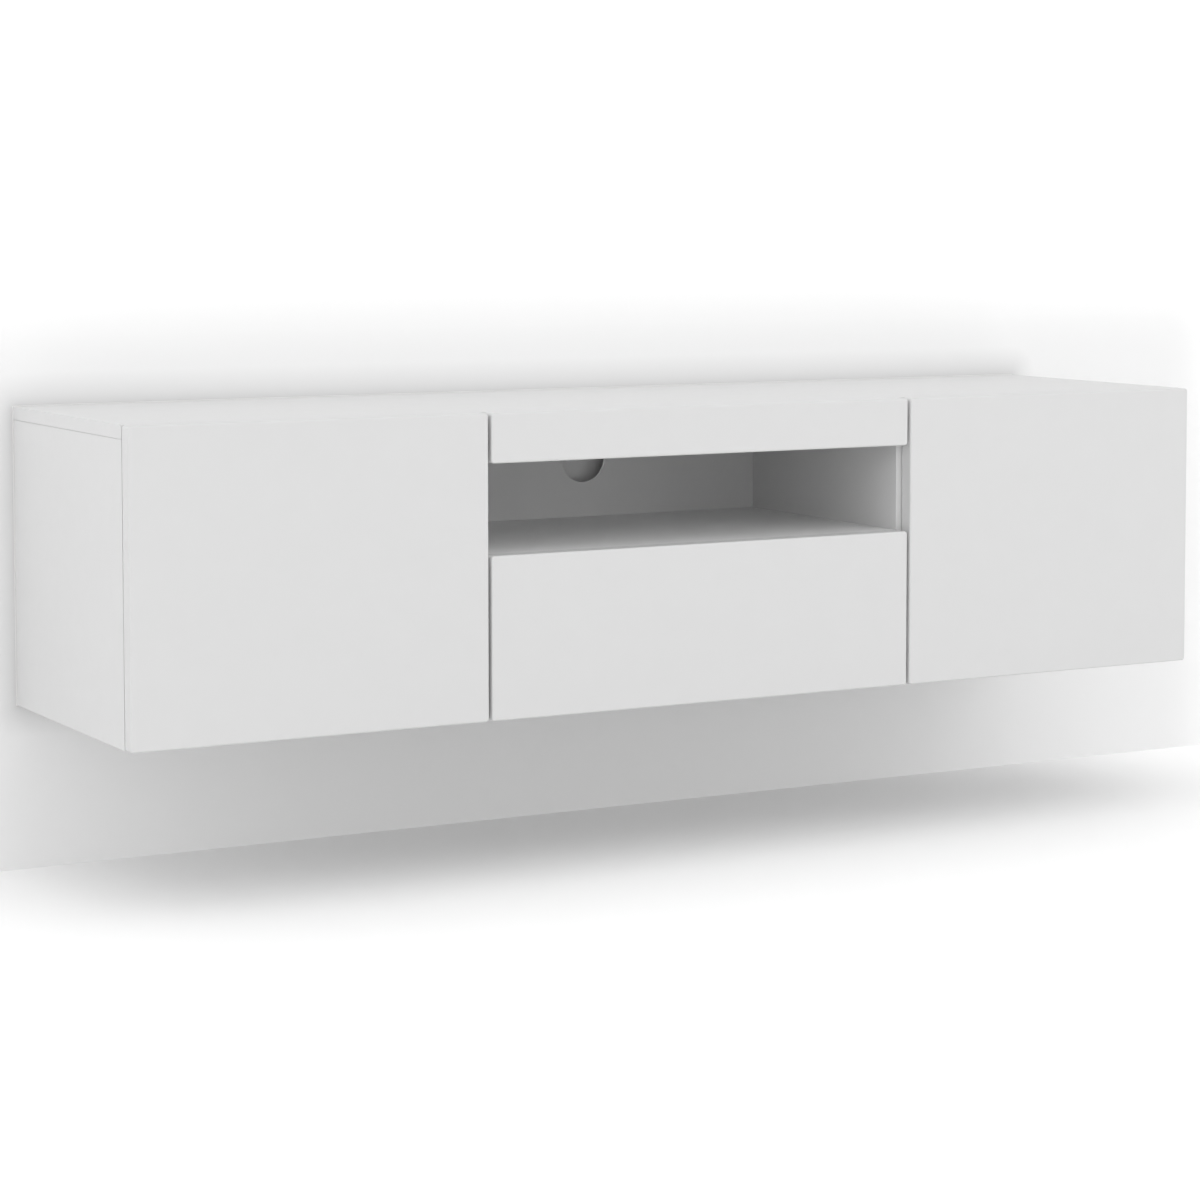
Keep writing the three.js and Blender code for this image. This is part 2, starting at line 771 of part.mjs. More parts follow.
function cabinetRunner(hand) {
  const geometry = runnerChannel(runnerLowX, runnerLowX + runnerFlangeReach, runnerLowX, runnerHeight / 2, 0);
  return piece(`${hand}_cabinet_runner`, geometry, materials.steel);
}

function middleRunner(hand) {
  const webX = runnerLowX + middleWebInset;
  const geometry = runnerChannel(
    runnerLowX + runnerSheet + runnerRaceGap,
    runnerHighX - runnerSheet - runnerRaceGap,
    webX,
    middleHalfHeight,
    middleShortening,
  );
  return piece(`${hand}_middle_runner`, geometry, materials.steel);
}

function drawerRunner(hand) {
  const lowX = runnerLowX + middleWebInset + runnerSheet + runnerRaceGap;
  const geometry = runnerChannel(lowX, runnerHighX, runnerHighX - runnerSheet, innerHalfHeight, 0);
  return piece(`${hand}_drawer_runner`, geometry, materials.steel);
}

// Drawer box

const drawerBoxFrontY = frontBackY + seam;
const drawerBoxBackY = drawerBoxFrontY + runnerLength;
const drawerSideInnerX = drawerSideX + drawerSideThickness;
const drawerBottomZ = drawerSideBase + drawerBottomRise;

function drawerSide(hand) {
  const base = block(
    [drawerSideX, drawerBoxFrontY, drawerSideBase],
    [drawerSideInnerX, drawerBoxBackY, drawerSideTopZ],
  );
  const groove = block(
    [drawerSideInnerX - drawerGrooveDepth - seam, drawerBoxFrontY - overrun, drawerBottomZ - seam],
    [drawerSideInnerX + overrun, drawerBoxBackY + overrun, drawerBottomZ + drawerBottomThickness + seam],
  );
  return piece(`${hand}_drawer_side`, carved(base, { cutters: [groove] }), materials.drawerBoard);
}

function drawerFront() {
  const reach = centreFrontWidth / 2;
  const geometry = frontPanel(-reach, reach, 0, drawerFrontHeight, frontBackY);
  return piece("drawer_front", geometry, materials.lacquer);
}

function drawerBack() {
  const reach = drawerSideInnerX + seam;
  const geometry = block(
    [reach, drawerBoxBackY - drawerSideThickness, drawerBottomZ + drawerBottomThickness + seam],
    [-reach, drawerBoxBackY, drawerSideTopZ],
  );
  return piece("drawer_back", geometry, materials.drawerBoard);
}

function drawerBottom() {
  const reach = drawerSideInnerX - drawerGrooveDepth;
  const geometry = block(
    [reach, drawerBoxFrontY, drawerBottomZ],
    [-reach, drawerBoxBackY, drawerBottomZ + drawerBottomThickness],
  );
  return piece("drawer_bottom", geometry, materials.drawerBoard);
}

// All that stands on one side
function oneSide(hand) {
  const side = new THREE.Group();
  side.add(
    sidePanel(hand),
    partition(hand),
    backPanel(hand),
    looseShelf(hand),
    ...shelfPins(hand),
    doorPanel(hand),
    ...hinges(hand),
    latchHousing(hand),
    latchPlunger(hand),
    strikePlate(hand),
    wallHanger(hand),
    wallPlate(hand),
    cabinetRunner(hand),
    middleRunner(hand),
    drawerRunner(hand),
    drawerSide(hand),
  );
  return side;
}

const cabinet = new THREE.Group();
const leftSide = oneSide("left");
const rightSide = oneSide("right");
rightSide.scale.x = -1;
cabinet.add(
  topBoard(),
  bottomBoard(),
  nicheDeck(),
  nicheBack(),
  fasciaStrip(),
  drawerFront(),
  drawerBack(),
  drawerBottom(),
  leftSide,
  rightSide,
);

// The origin is on the rear edge of the top board, where the console meets the wall
cabinet.position.z = -(overallHeight - boardThickness / 2);

const root = new THREE.Group();
root.add(cabinet);

export default root;
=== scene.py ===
"""A wall-hung media console in matt white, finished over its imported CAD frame.

Lengths are in metres, in the row frame: X from left to right, Y from the fronts back to the wall, Z up.
The left-hand pieces are modelled, and the right-hand ones are their mirrored copies.
"""

import json
import logging
import math
from dataclasses import dataclass, replace
from enum import Enum
from typing import Callable, Iterable, Optional, Sequence, Union

import bpy
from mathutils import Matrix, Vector


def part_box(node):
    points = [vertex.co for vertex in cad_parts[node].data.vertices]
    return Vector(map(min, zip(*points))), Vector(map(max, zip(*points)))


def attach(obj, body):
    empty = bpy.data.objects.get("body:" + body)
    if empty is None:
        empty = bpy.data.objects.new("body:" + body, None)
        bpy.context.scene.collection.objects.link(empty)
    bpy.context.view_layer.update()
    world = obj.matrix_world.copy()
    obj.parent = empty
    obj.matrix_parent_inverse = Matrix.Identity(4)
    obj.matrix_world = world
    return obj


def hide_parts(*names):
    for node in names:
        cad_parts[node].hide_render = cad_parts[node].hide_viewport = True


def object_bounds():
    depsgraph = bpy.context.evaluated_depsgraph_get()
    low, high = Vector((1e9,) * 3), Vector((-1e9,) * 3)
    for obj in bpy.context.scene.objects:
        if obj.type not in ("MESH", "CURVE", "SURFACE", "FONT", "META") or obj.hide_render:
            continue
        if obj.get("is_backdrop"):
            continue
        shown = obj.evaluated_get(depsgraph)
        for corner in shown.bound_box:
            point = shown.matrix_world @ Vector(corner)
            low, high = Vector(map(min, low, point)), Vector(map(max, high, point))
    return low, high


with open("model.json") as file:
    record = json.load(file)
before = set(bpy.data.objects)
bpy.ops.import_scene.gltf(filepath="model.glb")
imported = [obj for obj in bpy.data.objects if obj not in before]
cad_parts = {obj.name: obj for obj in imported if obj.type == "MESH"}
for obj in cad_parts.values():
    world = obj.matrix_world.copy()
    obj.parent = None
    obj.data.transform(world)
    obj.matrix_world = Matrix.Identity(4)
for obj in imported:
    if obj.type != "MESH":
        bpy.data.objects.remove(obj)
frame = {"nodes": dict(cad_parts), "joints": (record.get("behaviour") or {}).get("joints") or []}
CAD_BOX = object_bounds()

LOG = logging.getLogger("media_console")
MM = 0.001
# Places that are no further apart than this count as one
HAIR = 0.01 * MM
# Corners that are no further apart than this are merged
MERGE_DISTANCE = HAIR / 10
# The least part of a normal along an axis at which its face counts as facing that way
SQUARE_ON = 0.99
# The same where the softened edges of a sheet count too
ROUGHLY_ON = 0.5
# Edges that turn by more than this are shaded sharp, and softened where a CAD mesh is copied
SMOOTH_ANGLE = math.radians(35)
# Faces that turn by less from each other count as one flat face
FLAT_ANGLE = math.radians(0.5)
Spot = Union[Vector, Sequence[float]]
Span = tuple[Vector, Vector]
Thing = bpy.types.Object
Test = Callable[[Vector, Vector], bool]
Tree = bpy.types.NodeTree
Socket = bpy.types.NodeSocket
NodeValue = Union[float, Sequence[float]]


class Hand(Enum):
    """The hand of a piece that the console has twice."""

    LEFT = "left"
    RIGHT = "right"


class Axis(Enum):
    """The axes of the row frame, by their place in a vector."""

    ACROSS = 0
    DEEP = 1
    UP = 2


class Edge(Enum):
    """The edges of a board, as the axis that they face along and which way."""

    LEFT = (Axis.ACROSS, -1)
    RIGHT = (Axis.ACROSS, 1)
    FRONT = (Axis.DEEP, -1)
    REAR = (Axis.DEEP, 1)
    FOOT = (Axis.UP, -1)
    CROWN = (Axis.UP, 1)


class Slot(Enum):
    """The record's material slots, which are handed along with the new pieces."""

    LACQUER = "front_lacquer"
    BOARD = "carcass_board"
    HARDBOARD = "hardboard"
    DRAWER = "drawer_board"
    ZINC = "zinc_steel"
    NICKEL = "nickel_steel"
    PLASTIC = "grey_plastic"


# Materials


def linear(hex_colour: str) -> tuple[float, float, float, float]:
    """Turns an sRGB colour to linear light.

    Args:
        hex_colour: the colour as a hash sign and six hex digits.

    Returns:
        Red, green, blue and full alpha.
    """
    shares = [int(hex_colour[place : place + 2], 16) / 255 for place in (1, 3, 5)]
    red, green, blue = (s / 12.92 if s <= 0.04045 else ((s + 0.055) / 1.055) ** 2.4 for s in shares)
    return red, green, blue, 1.0


def per_metre(millimetres: float) -> float:
    """Gives the texture scale at which one feature is so many millimetres across."""
    return 1 / (millimetres * MM)


def add_node(
    tree: Tree,
    kind: str,
    links: Optional[dict[Union[str, int], Socket]] = None,
    values: Optional[dict[Union[str, int], NodeValue]] = None,
    **settings: Union[str, bool, float],
) -> bpy.types.Node:
    """Adds one node with its settings and links.

    Args:
        tree: the node tree that takes the node.
        kind: the node's type name.
        links: the output that feeds each input, by the input's name or place.
        values: what each unlinked input holds, by its name or place.
        settings: the node's own properties.

    Returns:
        The new node.
    """
    node = tree.nodes.new(kind)
    for name, value in settings.items():
        setattr(node, name, value)
    for socket, value in (values or {}).items():
        node.inputs[socket].default_value = value
    for socket, source in (links or {}).items():
        tree.links.new(source, node.inputs[socket])
    return node


@dataclass(frozen=True)
class Finish:
    """A real surface: its colour, its fine relief and the way it throws light back."""

    name: str
    colour: str
    shade: str
    roughness: float
    roughness_spread: float
    mottle_mm: float
    grain_mm: float
    relief_mm: float
    metallic: float = 0.0
    ior: float = 1.5

    def tone(self, tree: Tree, place: Socket) -> Socket:
        """Gives the share of the darker tone at a place: a soft cloudiness.

        Args:
            tree: the node tree that takes the nodes.
            place: the place's output.

        Returns:
            The output that holds the share.
        """
        noise = add_node(
            tree,
            "ShaderNodeTexNoise",
            links={"Vector": place},
            values={"Scale": per_metre(self.mottle_mm), "Detail": 3.0, "Roughness": 0.55},
        )
        return noise.outputs["Fac"]

    def relief(self, tree: Tree, place: Socket) -> Socket:
        """Gives the height of the fine relief at a place: rounded pebbling.

        Args:
            tree: the node tree that takes the nodes.
            place: the place's output.

        Returns:
            The output that holds the height.
        """
        noise = add_node(
            tree,
            "ShaderNodeTexNoise",
            links={"Vector": place},
            values={"Scale": per_metre(self.grain_mm), "Detail": 2.0, "Roughness": 0.5},
        )
        return noise.outputs["Fac"]

    def material(self) -> bpy.types.Material:
        """Gives the finish's material, made the first time that it is asked for.

        Returns:
            The Blender material.
        """
        made = bpy.data.materials.get(self.name)
        if made is not None:
            return made
        made = bpy.data.materials.new(self.name)
        made.use_nodes = True
        made.diffuse_color = linear(self.colour)
        tree = made.node_tree
        tree.nodes.clear()
        shader = add_node(tree, "ShaderNodeBsdfPrincipled", values={"Metallic": self.metallic})
        if not self.metallic:
            shader.inputs["IOR"].default_value = self.ior
        place = add_node(tree, "ShaderNodeTexCoord").outputs["Object"]
        tone = self.tone(tree, place)
        relief = self.relief(tree, place)
        colour = add_node(
            tree,
            "ShaderNodeMix",
            links={"Factor": tone},
            values={6: linear(self.colour), 7: linear(self.shade)},
            data_type="RGBA",
        )
        rough = add_node(
            tree,
            "ShaderNodeMapRange",
            links={"Value": tone},
            values={
                "To Min": self.roughness - self.roughness_spread,
                "To Max": self.roughness + self.roughness_spread,
            },
        )
        bump = add_node(
            tree,
            "ShaderNodeBump",
            links={"Height": relief},
            values={"Distance": self.relief_mm * MM, "Strength": 1.0},
        )
        tree.links.new(colour.outputs[2], shader.inputs["Base Color"])
        tree.links.new(rough.outputs["Result"], shader.inputs["Roughness"])
        tree.links.new(bump.outputs["Normal"], shader.inputs["Normal"])
        add_node(tree, "ShaderNodeOutputMaterial", links={"Surface": shader.outputs[0]})
        return made


@dataclass(frozen=True)
class StretchedFinish(Finish):
    """A finish whose relief runs in one direction, as rolling, drawing or extruding leaves it."""

    along: Axis = Axis.DEEP
    stretch: float = 25.0

    def relief(self, tree: Tree, place: Socket) -> Socket:
        """Gives the height of the relief at a place: fine lines along one axis.

        Args:
            tree: the node tree that takes the nodes.
            place: the place's output.

        Returns:
            The output that holds the height.
        """
        scale = [1.0, 1.0, 1.0]
        scale[self.along.value] = 1 / self.stretch
        lines = add_node(tree, "ShaderNodeMapping", links={"Vector": place}, values={"Scale": scale})
        return super().relief(tree, lines.outputs["Vector"])


@dataclass(frozen=True)
class ChippedFinish(Finish):
    """A finish of pressed wood chips, each of its own tone and height."""

    def tone(self, tree: Tree, place: Socket) -> Socket:
        """Gives the share of the darker tone at a place: one value for each chip.

        Args:
            tree: the node tree that takes the nodes.
            place: the place's output.

        Returns:
            The output that holds the share.
        """
        chips = add_node(
            tree,
            "ShaderNodeTexVoronoi",
            links={"Vector": place},
            values={"Scale": per_metre(self.grain_mm), "Randomness": 1.0},
        )
        return add_node(
            tree, "ShaderNodeSeparateColor", links={"Color": chips.outputs["Color"]}
        ).outputs["Red"]

    def relief(self, tree: Tree, place: Socket) -> Socket:
        """Gives the height of the relief at a place: chips with sunken joints.

        Args:
            tree: the node tree that takes the nodes.
            place: the place's output.

        Returns:
            The output that holds the height.
        """
        joints = add_node(
            tree,
            "ShaderNodeTexVoronoi",
            links={"Vector": place},
            values={"Scale": per_metre(self.grain_mm)},
            feature="DISTANCE_TO_EDGE",
        )
        return joints.outputs["Distance"]


@dataclass(frozen=True)
class ScreenedFinish(Finish):
    """A finish that was pressed against a wire screen, which leaves rows of small squares."""

    waves_per_unit: float = math.pi / 10

    def relief(self, tree: Tree, place: Socket) -> Socket:
        """Gives the height of the relief at a place: the weave of the screen.

        Args:
            tree: the node tree that takes the nodes.
            place: the place's output.

        Returns:
            The output that holds the height.
        """
        rows = [
            add_node(
                tree,
                "ShaderNodeTexWave",
                links={"Vector": place},
                values={"Scale": per_metre(self.grain_mm) * self.waves_per_unit},
                bands_direction=direction,
            ).outputs["Fac"]
            for direction in ("X", "Z")
        ]
        both = add_node(tree, "ShaderNodeMath", links={0: rows[0], 1: rows[1]}, operation="MULTIPLY")
        return both.outputs["Value"]


# Fibreboard sprayed with matt acrylic lacquer: a soft, even white with a fine orange peel
LACQUER = Finish(
    name="matt_acrylic_lacquer_sprayed",
    colour="#dddddd",
    shade="#dbdbdb",
    roughness=0.44,
    roughness_spread=0.03,
    mottle_mm=45,
    grain_mm=2.2,
    relief_mm=0.02,
)

# Melamine paper pressed on particleboard against a fine-textured plate: a dry pearl grain
MELAMINE = Finish(
    name="white_melamine_pressed_pearl",
    colour="#dfdfdf",
    shade="#dddddd",
    roughness=0.5,
    roughness_spread=0.04,
    mottle_mm=18,
    grain_mm=0.9,
    relief_mm=0.02,
)

# Painted light: the same board in a brighter white, standing in for more light on the niche's floor, which
# looks lighter than the boards around it
MELAMINE_WITH_PAINTED_LIGHT = replace(
    MELAMINE, name="bright_white_melamine_pressed_pearl", colour="#f0f0f0", shade="#eeeeee"
)

# ABS edging, extruded and scraped flush: slightly smoother than the board, with lines along it
EDGING = StretchedFinish(
    name="abs_edging_extruded",
    colour="#dedede",
    shade="#dcdcdc",
    roughness=0.4,
    roughness_spread=0.03,
    mottle_mm=12,
    grain_mm=0.6,
    relief_mm=0.01,
    along=Axis.ACROSS,
)

# Sawn particleboard: tan chips of one to two millimetres with dark joints
PARTICLE_CORE = ChippedFinish(
    name="particleboard_sawn",
    colour="#c9b089",
    shade="#9c8058",
    roughness=0.85,
    roughness_spread=0.05,
    mottle_mm=8,
    grain_mm=1.4,
    relief_mm=0.15,
)

# Bored fibreboard: an even felt of short brown fibres
FIBRE_CORE = Finish(
    name="fibreboard_bored",
    colour="#b3926a",
    shade="#9a7a54",
    roughness=0.9,
    roughness_spread=0.04,
    mottle_mm=3,
    grain_mm=0.5,
    relief_mm=0.08,
)

# Hardboard with a lacquered face: white, with the faint waviness of a thin pressed sheet
HARDBOARD_FACE = Finish(
    name="hardboard_lacquered_face",
    colour="#dbdbda",
    shade="#d7d7d5",
    roughness=0.5,
    roughness_spread=0.05,
    mottle_mm=60,
    grain_mm=1.6,
    relief_mm=0.03,
)

# Hardboard's rear, pressed against a wire screen: brown, with a woven print.
# The screen's real pitch is about 1.5 mm, drawn at 3 mm so that it shows.
HARDBOARD_REAR = ScreenedFinish(
    name="hardboard_screen_pressed_rear",
    colour="#8d6a49",
    shade="#7a5a3d",
    roughness=0.8,
    roughness_spread=0.06,
    mottle_mm=25,
    grain_mm=3.0,
    relief_mm=0.15,
)

# Particleboard wrapped in printed paper foil: duller than melamine, with a linen-fine tooth
FOIL = Finish(
    name="paper_foil_wrapped_board",
    colour="#d9d8d5",
    shade="#d3d2cf",
    roughness=0.55,
    roughness_spread=0.04,
    mottle_mm=9,
    grain_mm=0.7,
    relief_mm=0.03,
)

# Cold-rolled steel sheet, zinc-plated: cool grey, softly bright, with rolling lines and faint clouds
ZINC = StretchedFinish(
    name="zinc_plated_rolled_steel",
    colour="#c6c9cc",
    shade="#aeb2b6",
    roughness=0.34,
    roughness_spread=0.07,
    mottle_mm=14,
    grain_mm=0.5,
    relief_mm=0.01,
    metallic=1.0,
)

# Pressed steel, nickel-plated and tumbled: warm and brighter than zinc
NICKEL = StretchedFinish(
    name="nickel_plated_pressed_steel",
    colour="#cfcbc2",
    shade="#bfbbb1",
    roughness=0.22,
    roughness_spread=0.05,
    mottle_mm=6,
    grain_mm=0.4,
    relief_mm=0.006,
    metallic=1.0,
)

# Acetal moulded in a spark-eroded tool: an even grey with a fine matt tooth
PLASTIC = Finish(
    name="grey_acetal_moulded",
    colour="#9a9c9e",
    shade="#939597",
    roughness=0.48,
    roughness_spread=0.04,
    mottle_mm=7,
    grain_mm=0.4,
    relief_mm=0.02,
)


# Modelling by hand


def deselect() -> None:
    """Deselects every object."""
    bpy.ops.object.select_all(action="DESELECT")


def take_up(thing: Thing) -> None:
    """Selects one object alone and makes it the active one.

    Args:
        thing: the object.
    """
    deselect()
    thing.select_set(True)
    bpy.context.view_layer.objects.active = thing


def set_down(name: Optional[str] = None) -> Thing:
    """Applies the active object's place, turn and size to its mesh.

    Args:
        name: its new name, if it gets one.

    Returns:
        The active object.
    """
    made = bpy.context.active_object
    made.name = name or made.name
    bpy.ops.object.transform_apply(location=True, rotation=True, scale=True)
    return made


def block(name: str, low: Spot, high: Spot) -> Thing:
    """Adds a cube, sized between two corners.

    Args:
        name: the name of the new object.
        low: the corner with the lowest values.
        high: the corner with the highest values.

    Returns:
        The new object.
    """
    deselect()
    first, last = Vector(low), Vector(high)
    bpy.ops.mesh.primitive_cube_add(size=1, location=(first + last) / 2, scale=last - first)
    return set_down(name)


def bar(name: str, radius: float, start: Spot, end: Spot, sides: int = 48) -> Thing:
    """Adds a cylinder between two points.

    Args:
        name: the name of the new object.
        radius: its radius.
        start: the middle of one end.
        end: the middle of the other end.
        sides: how many flat sides it has.

    Returns:
        The new object.
    """
    deselect()
    first, last = Vector(start), Vector(end)
    along = last - first
    bpy.ops.mesh.primitive_cylinder_add(
        vertices=sides,
        radius=radius,
        depth=along.length,
        location=(first + last) / 2,
        rotation=along.to_track_quat("Z", "Y").to_euler(),
    )
    return set_down(name)


def clear_picks(thing: Thing) -> None:
    """Deselects every corner, edge and face of a mesh."""
    for parts in (thing.data.vertices, thing.data.edges, thing.data.polygons):
        parts.foreach_set("select", [False] * len(parts))


def pick_edges(thing: Thing, wanted: Test) -> None:
    """Opens an object in edit mode with some of its edges selected.

    Args:
        thing: the object.
        wanted: says from its two ends whether an edge is selected.
    """
    take_up(thing)
    clear_picks(thing)
    corners = thing.data.vertices
    for edge in thing.data.edges:
        first, last = (corners[index] for index in edge.vertices)
        if wanted(first.co, last.co):
            edge.select = first.select = last.select = True
    bpy.context.tool_settings.mesh_select_mode = (False, True, False)
    bpy.ops.object.mode_set(mode="EDIT")


def pick_faces(thing: Thing, wanted: Test) -> None:
    """Opens an object in edit mode with some of its faces selected.

    Args:
        thing: the object.
        wanted: says from its centre and its normal whether a face is selected.
    """
    take_up(thing)
    clear_picks(thing)
    for face in thing.data.polygons:
        face.select = wanted(face.center, face.normal)
    bpy.context.tool_settings.mesh_select_mode = (False, False, True)
    bpy.ops.object.mode_set(mode="EDIT")


def pick_merged(thing: Thing) -> None:
    """Opens an object in edit mode, selected all over, and merges its doubled corners.

    Args:
        thing: the object.
    """
    take_up(thing)
    bpy.ops.object.mode_set(mode="EDIT")
    bpy.ops.mesh.select_all(action="SELECT")
    bpy.ops.mesh.remove_doubles(threshold=MERGE_DISTANCE)


def leave_edit() -> None:
    """Goes back to object mode."""
    bpy.ops.object.mode_set(mode="OBJECT")


def round_edges(thing: Thing, wanted: Test, radius: float, steps: int = 2) -> None:
    """Rounds some edges of an object.

    Args:
        thing: the object.
        wanted: says from its two ends whether an edge is rounded.
        radius: the radius of the rounding.
        steps: how many steps the rounding has.
    """
    pick_edges(thing, wanted)
    bpy.ops.mesh.bevel(offset=radius, segments=steps, profile=0.5, affect="EDGES")
    leave_edit()


def every_edge(first: Vector, last: Vector) -> bool:
    """Wants every edge."""
    return True


def edges_along(axis: Axis) -> Test:
    """Gives the test for edges that run along one axis.

    Args:
        axis: the axis.

    Returns:
        The test of an edge's two ends.
    """

    def wanted(first: Vector, last: Vector) -> bool:
        """Wants an edge that runs along the axis."""
        run = last - first
        return abs(run[axis.value]) > run.length - HAIR

    return wanted


def edges_at(axis: Axis, level: float) -> Test:
    """Gives the test for edges that lie in one plane.

    Args:
        axis: the axis that the plane stands across.
        level: the plane's place on that axis.

    Returns:
        The test of an edge's two ends.
    """

    def wanted(first: Vector, last: Vector) -> bool:
        """Wants an edge that lies in the plane."""
        return all(abs(end[axis.value] - level) < HAIR for end in (first, last))

    return wanted


def faces_to(axis: Axis, way: int) -> Test:
    """Gives the test for faces that face one way along an axis.

    Args:
        axis: the axis.
        way: the way along it, -1 or 1.

    Returns:
        The test of a face's centre and its normal.
    """

    def wanted(centre: Vector, normal: Vector) -> bool:
        """Wants a face that faces that way."""
        return normal[axis.value] * way > SQUARE_ON

    return wanted


def modify(thing: Thing, kind: str, **settings: Union[str, bool, float, Thing]) -> None:
    """Changes an object's mesh with one modifier, which is applied.

    Args:
        thing: the object.
        kind: the modifier's type.
        settings: the modifier's own properties.
    """
    take_up(thing)
    bpy.ops.object.modifier_add(type=kind)
    modifier = thing.modifiers[-1]
    for name, value in settings.items():
        setattr(modifier, name, value)
    bpy.ops.object.modifier_apply(modifier=modifier.name)


def combine(thing: Thing, others: Iterable[Thing], operation: str) -> Thing:
    """Joins other solids to an object or cuts them out of it, and removes them.

    Args:
        thing: the object that is changed.
        others: the solids that are used up.
        operation: UNION or DIFFERENCE.

    Returns:
        The changed object.
    """
    for other in others:
        modify(thing, "BOOLEAN", operation=operation, solver="EXACT", object=other)
        bpy.data.objects.remove(other)
    return thing


def join(things: Sequence[Thing]) -> Thing:
    """Joins separate objects into the first of them.

    Args:
        things: the objects.

    Returns:
        The first object, which now holds all the meshes.
    """
    take_up(things[0])
    for thing in things:
        thing.select_set(True)
    bpy.ops.object.join()
    return bpy.context.active_object


def copied(thing: Thing, name: str, move: Spot = (0, 0, 0)) -> Thing:
    """Copies an object with its own mesh and moves the copy.

    Args:
        thing: the object that is copied.
        name: the copy's name.
        move: how far the copy is moved.

    Returns:
        The copy.
    """
    take_up(thing)
    bpy.ops.object.duplicate(linked=False)
    bpy.context.active_object.location = Vector(move)
    return set_down(name)


def mirrored(thing: Thing, name: str) -> Thing:
    """Copies an object to the other hand of the console.

    Args:
        thing: the left-hand object.
        name: the copy's name.

    Returns:
        The right-hand copy.
    """
    made = copied(thing, name)
    made.scale = (-1, 1, 1)
    return set_down()


def paint_faces(thing: Thing, finish: Finish, wanted: Test) -> None:
    """Gives some faces of a finished object a second finish.

    Args:
        thing: the object.
        finish: the second finish.
        wanted: says from its centre and its normal whether a face takes it.
    """
    thing.data.materials.append(finish.material())
    for face in thing.data.polygons:
        if wanted(face.center, face.normal):
            face.material_index = len(thing.data.materials) - 1


def dress(thing: Thing, finish: Finish) -> Thing:
    """Turns a shaped object's faces outwards, smooths its shading and gives it a finish.

    Args:
        thing: the shaped object.
        finish: its finish.

    Returns:
        The same object.
    """
    pick_merged(thing)
    bpy.ops.mesh.normals_make_consistent(inside=False)
    leave_edit()
    bpy.ops.object.shade_smooth_by_angle(angle=SMOOTH_ANGLE)
    modify(thing, "WEIGHTED_NORMAL", keep_sharp=True)
    thing.data.materials.clear()
    thing.data.materials.append(finish.material())
    return thing


def carry(thing: Thing, slot: Slot, body: str, stands_for: Sequence[str] = ()) -> Thing:
    """Lets a CAD body carry a finished object.

    Args:
        thing: the finished object.
        slot: the record's slot; not used.
        body: the CAD body that it rides on.
        stands_for: the CAD nodes that it replaces.

    Returns:
        The same object.
    """
    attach(thing, body)
    if stands_for:
        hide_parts(*stands_for)
    LOG.info("%s on %s", thing.name, body)
    return thing


def settle(
    thing: Thing, finish: Finish, slot: Slot, body: str, stands_for: Sequence[str] = ()
) -> Thing:
    """Dresses a shaped object and lets a CAD body carry it.

    Args:
        thing: the shaped object.
        finish: its finish.
        slot: the record's slot, handed on to carry.
        body: the CAD body that it rides on.
        stands_for: the CAD nodes that it replaces.

    Returns:
        The same object.
    """
    return carry(dress(thing, finish), slot, body, stands_for)


def finish_pair(
    left: Thing, kind: str, finish: Finish, slot: Slot, body: str = "carcass"
) -> tuple[Thing, Thing]:
    """Finishes a shaped left-hand piece and its mirrored copy.

    Args:
        left: the shaped left-hand piece.
        kind: its CAD node's name without the hand.
        finish: its finish.
        slot: the record's slot.
        body: the left-hand body that carries it, or the one that carries both.

    Returns:
        The left-hand piece and the right-hand one.
    """
    right = mirrored(left, f"right_{kind}_finished")
    for hand, made in ((Hand.LEFT, left), (Hand.RIGHT, right)):
        settle(made, finish, slot, body.replace("left", hand.value), [f"{hand.value}_{kind}"])
    return left, right


# Fronts


@dataclass
class FrontPanel:
    """A front of lacquered fibreboard: soft front edges, round corners and a square back."""

    node: str
    body: str
    edge_radius: float = 2.5 * MM
    corner_radius: float = 4 * MM
    back_arris: float = 0.2 * MM
    steps: int = 6
    bore_margin: float = 0.3 * MM
    cups: tuple[str, ...] = ()

    def shape(self) -> Thing:
        """Models the panel from a block.

        Returns:
            The panel, not yet finished.
        """
        low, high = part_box(self.node)
        panel = block(f"{self.node}_finished", low, high)
        round_edges(panel, edges_along(Axis.DEEP), self.corner_radius, self.steps)
        round_edges(panel, edges_at(Axis.DEEP, low.y), self.edge_radius, self.steps)
        round_edges(panel, edges_at(Axis.DEEP, high.y), self.back_arris)
        return combine(panel, [self.bore(cup, high.y) for cup in self.cups], "DIFFERENCE")

    def bore(self, cup: str, back: float) -> Thing:
        """Makes the cutter of the bore for one hinge cup.

        Args:
            cup: the cup's CAD node.
            back: where the panel's back is.

        Returns:
            The cutter.
        """
        low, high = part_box(cup)
        middle = CupHinge.pot_middle(cup)
        radius = CupHinge.cup_radius + self.bore_margin
        floor = low.y - self.bore_margin
        return bar("bore", radius, (middle.x, floor, middle.z), (middle.x, back + radius, middle.z))

    def build(self) -> None:
        """Models and finishes the panel, with bare fibreboard in its bores."""
        panel = settle(self.shape(), LACQUER, Slot.LACQUER, self.body, [self.node])
        low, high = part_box(self.node)
        reach = CupHinge.cup_radius + 2 * self.bore_margin
        middles = [CupHinge.pot_middle(cup) for cup in self.cups]

        def in_bore(centre: Vector, normal: Vector) -> bool:
            """Wants a face inside a bore."""
            near = (math.hypot(centre.x - m.x, centre.z - m.z) < reach for m in middles)
            return low.y + MM < centre.y < high.y - HAIR and any(near)

        if self.cups:
            paint_faces(panel, FIBRE_CORE, in_bore)


# Carcass


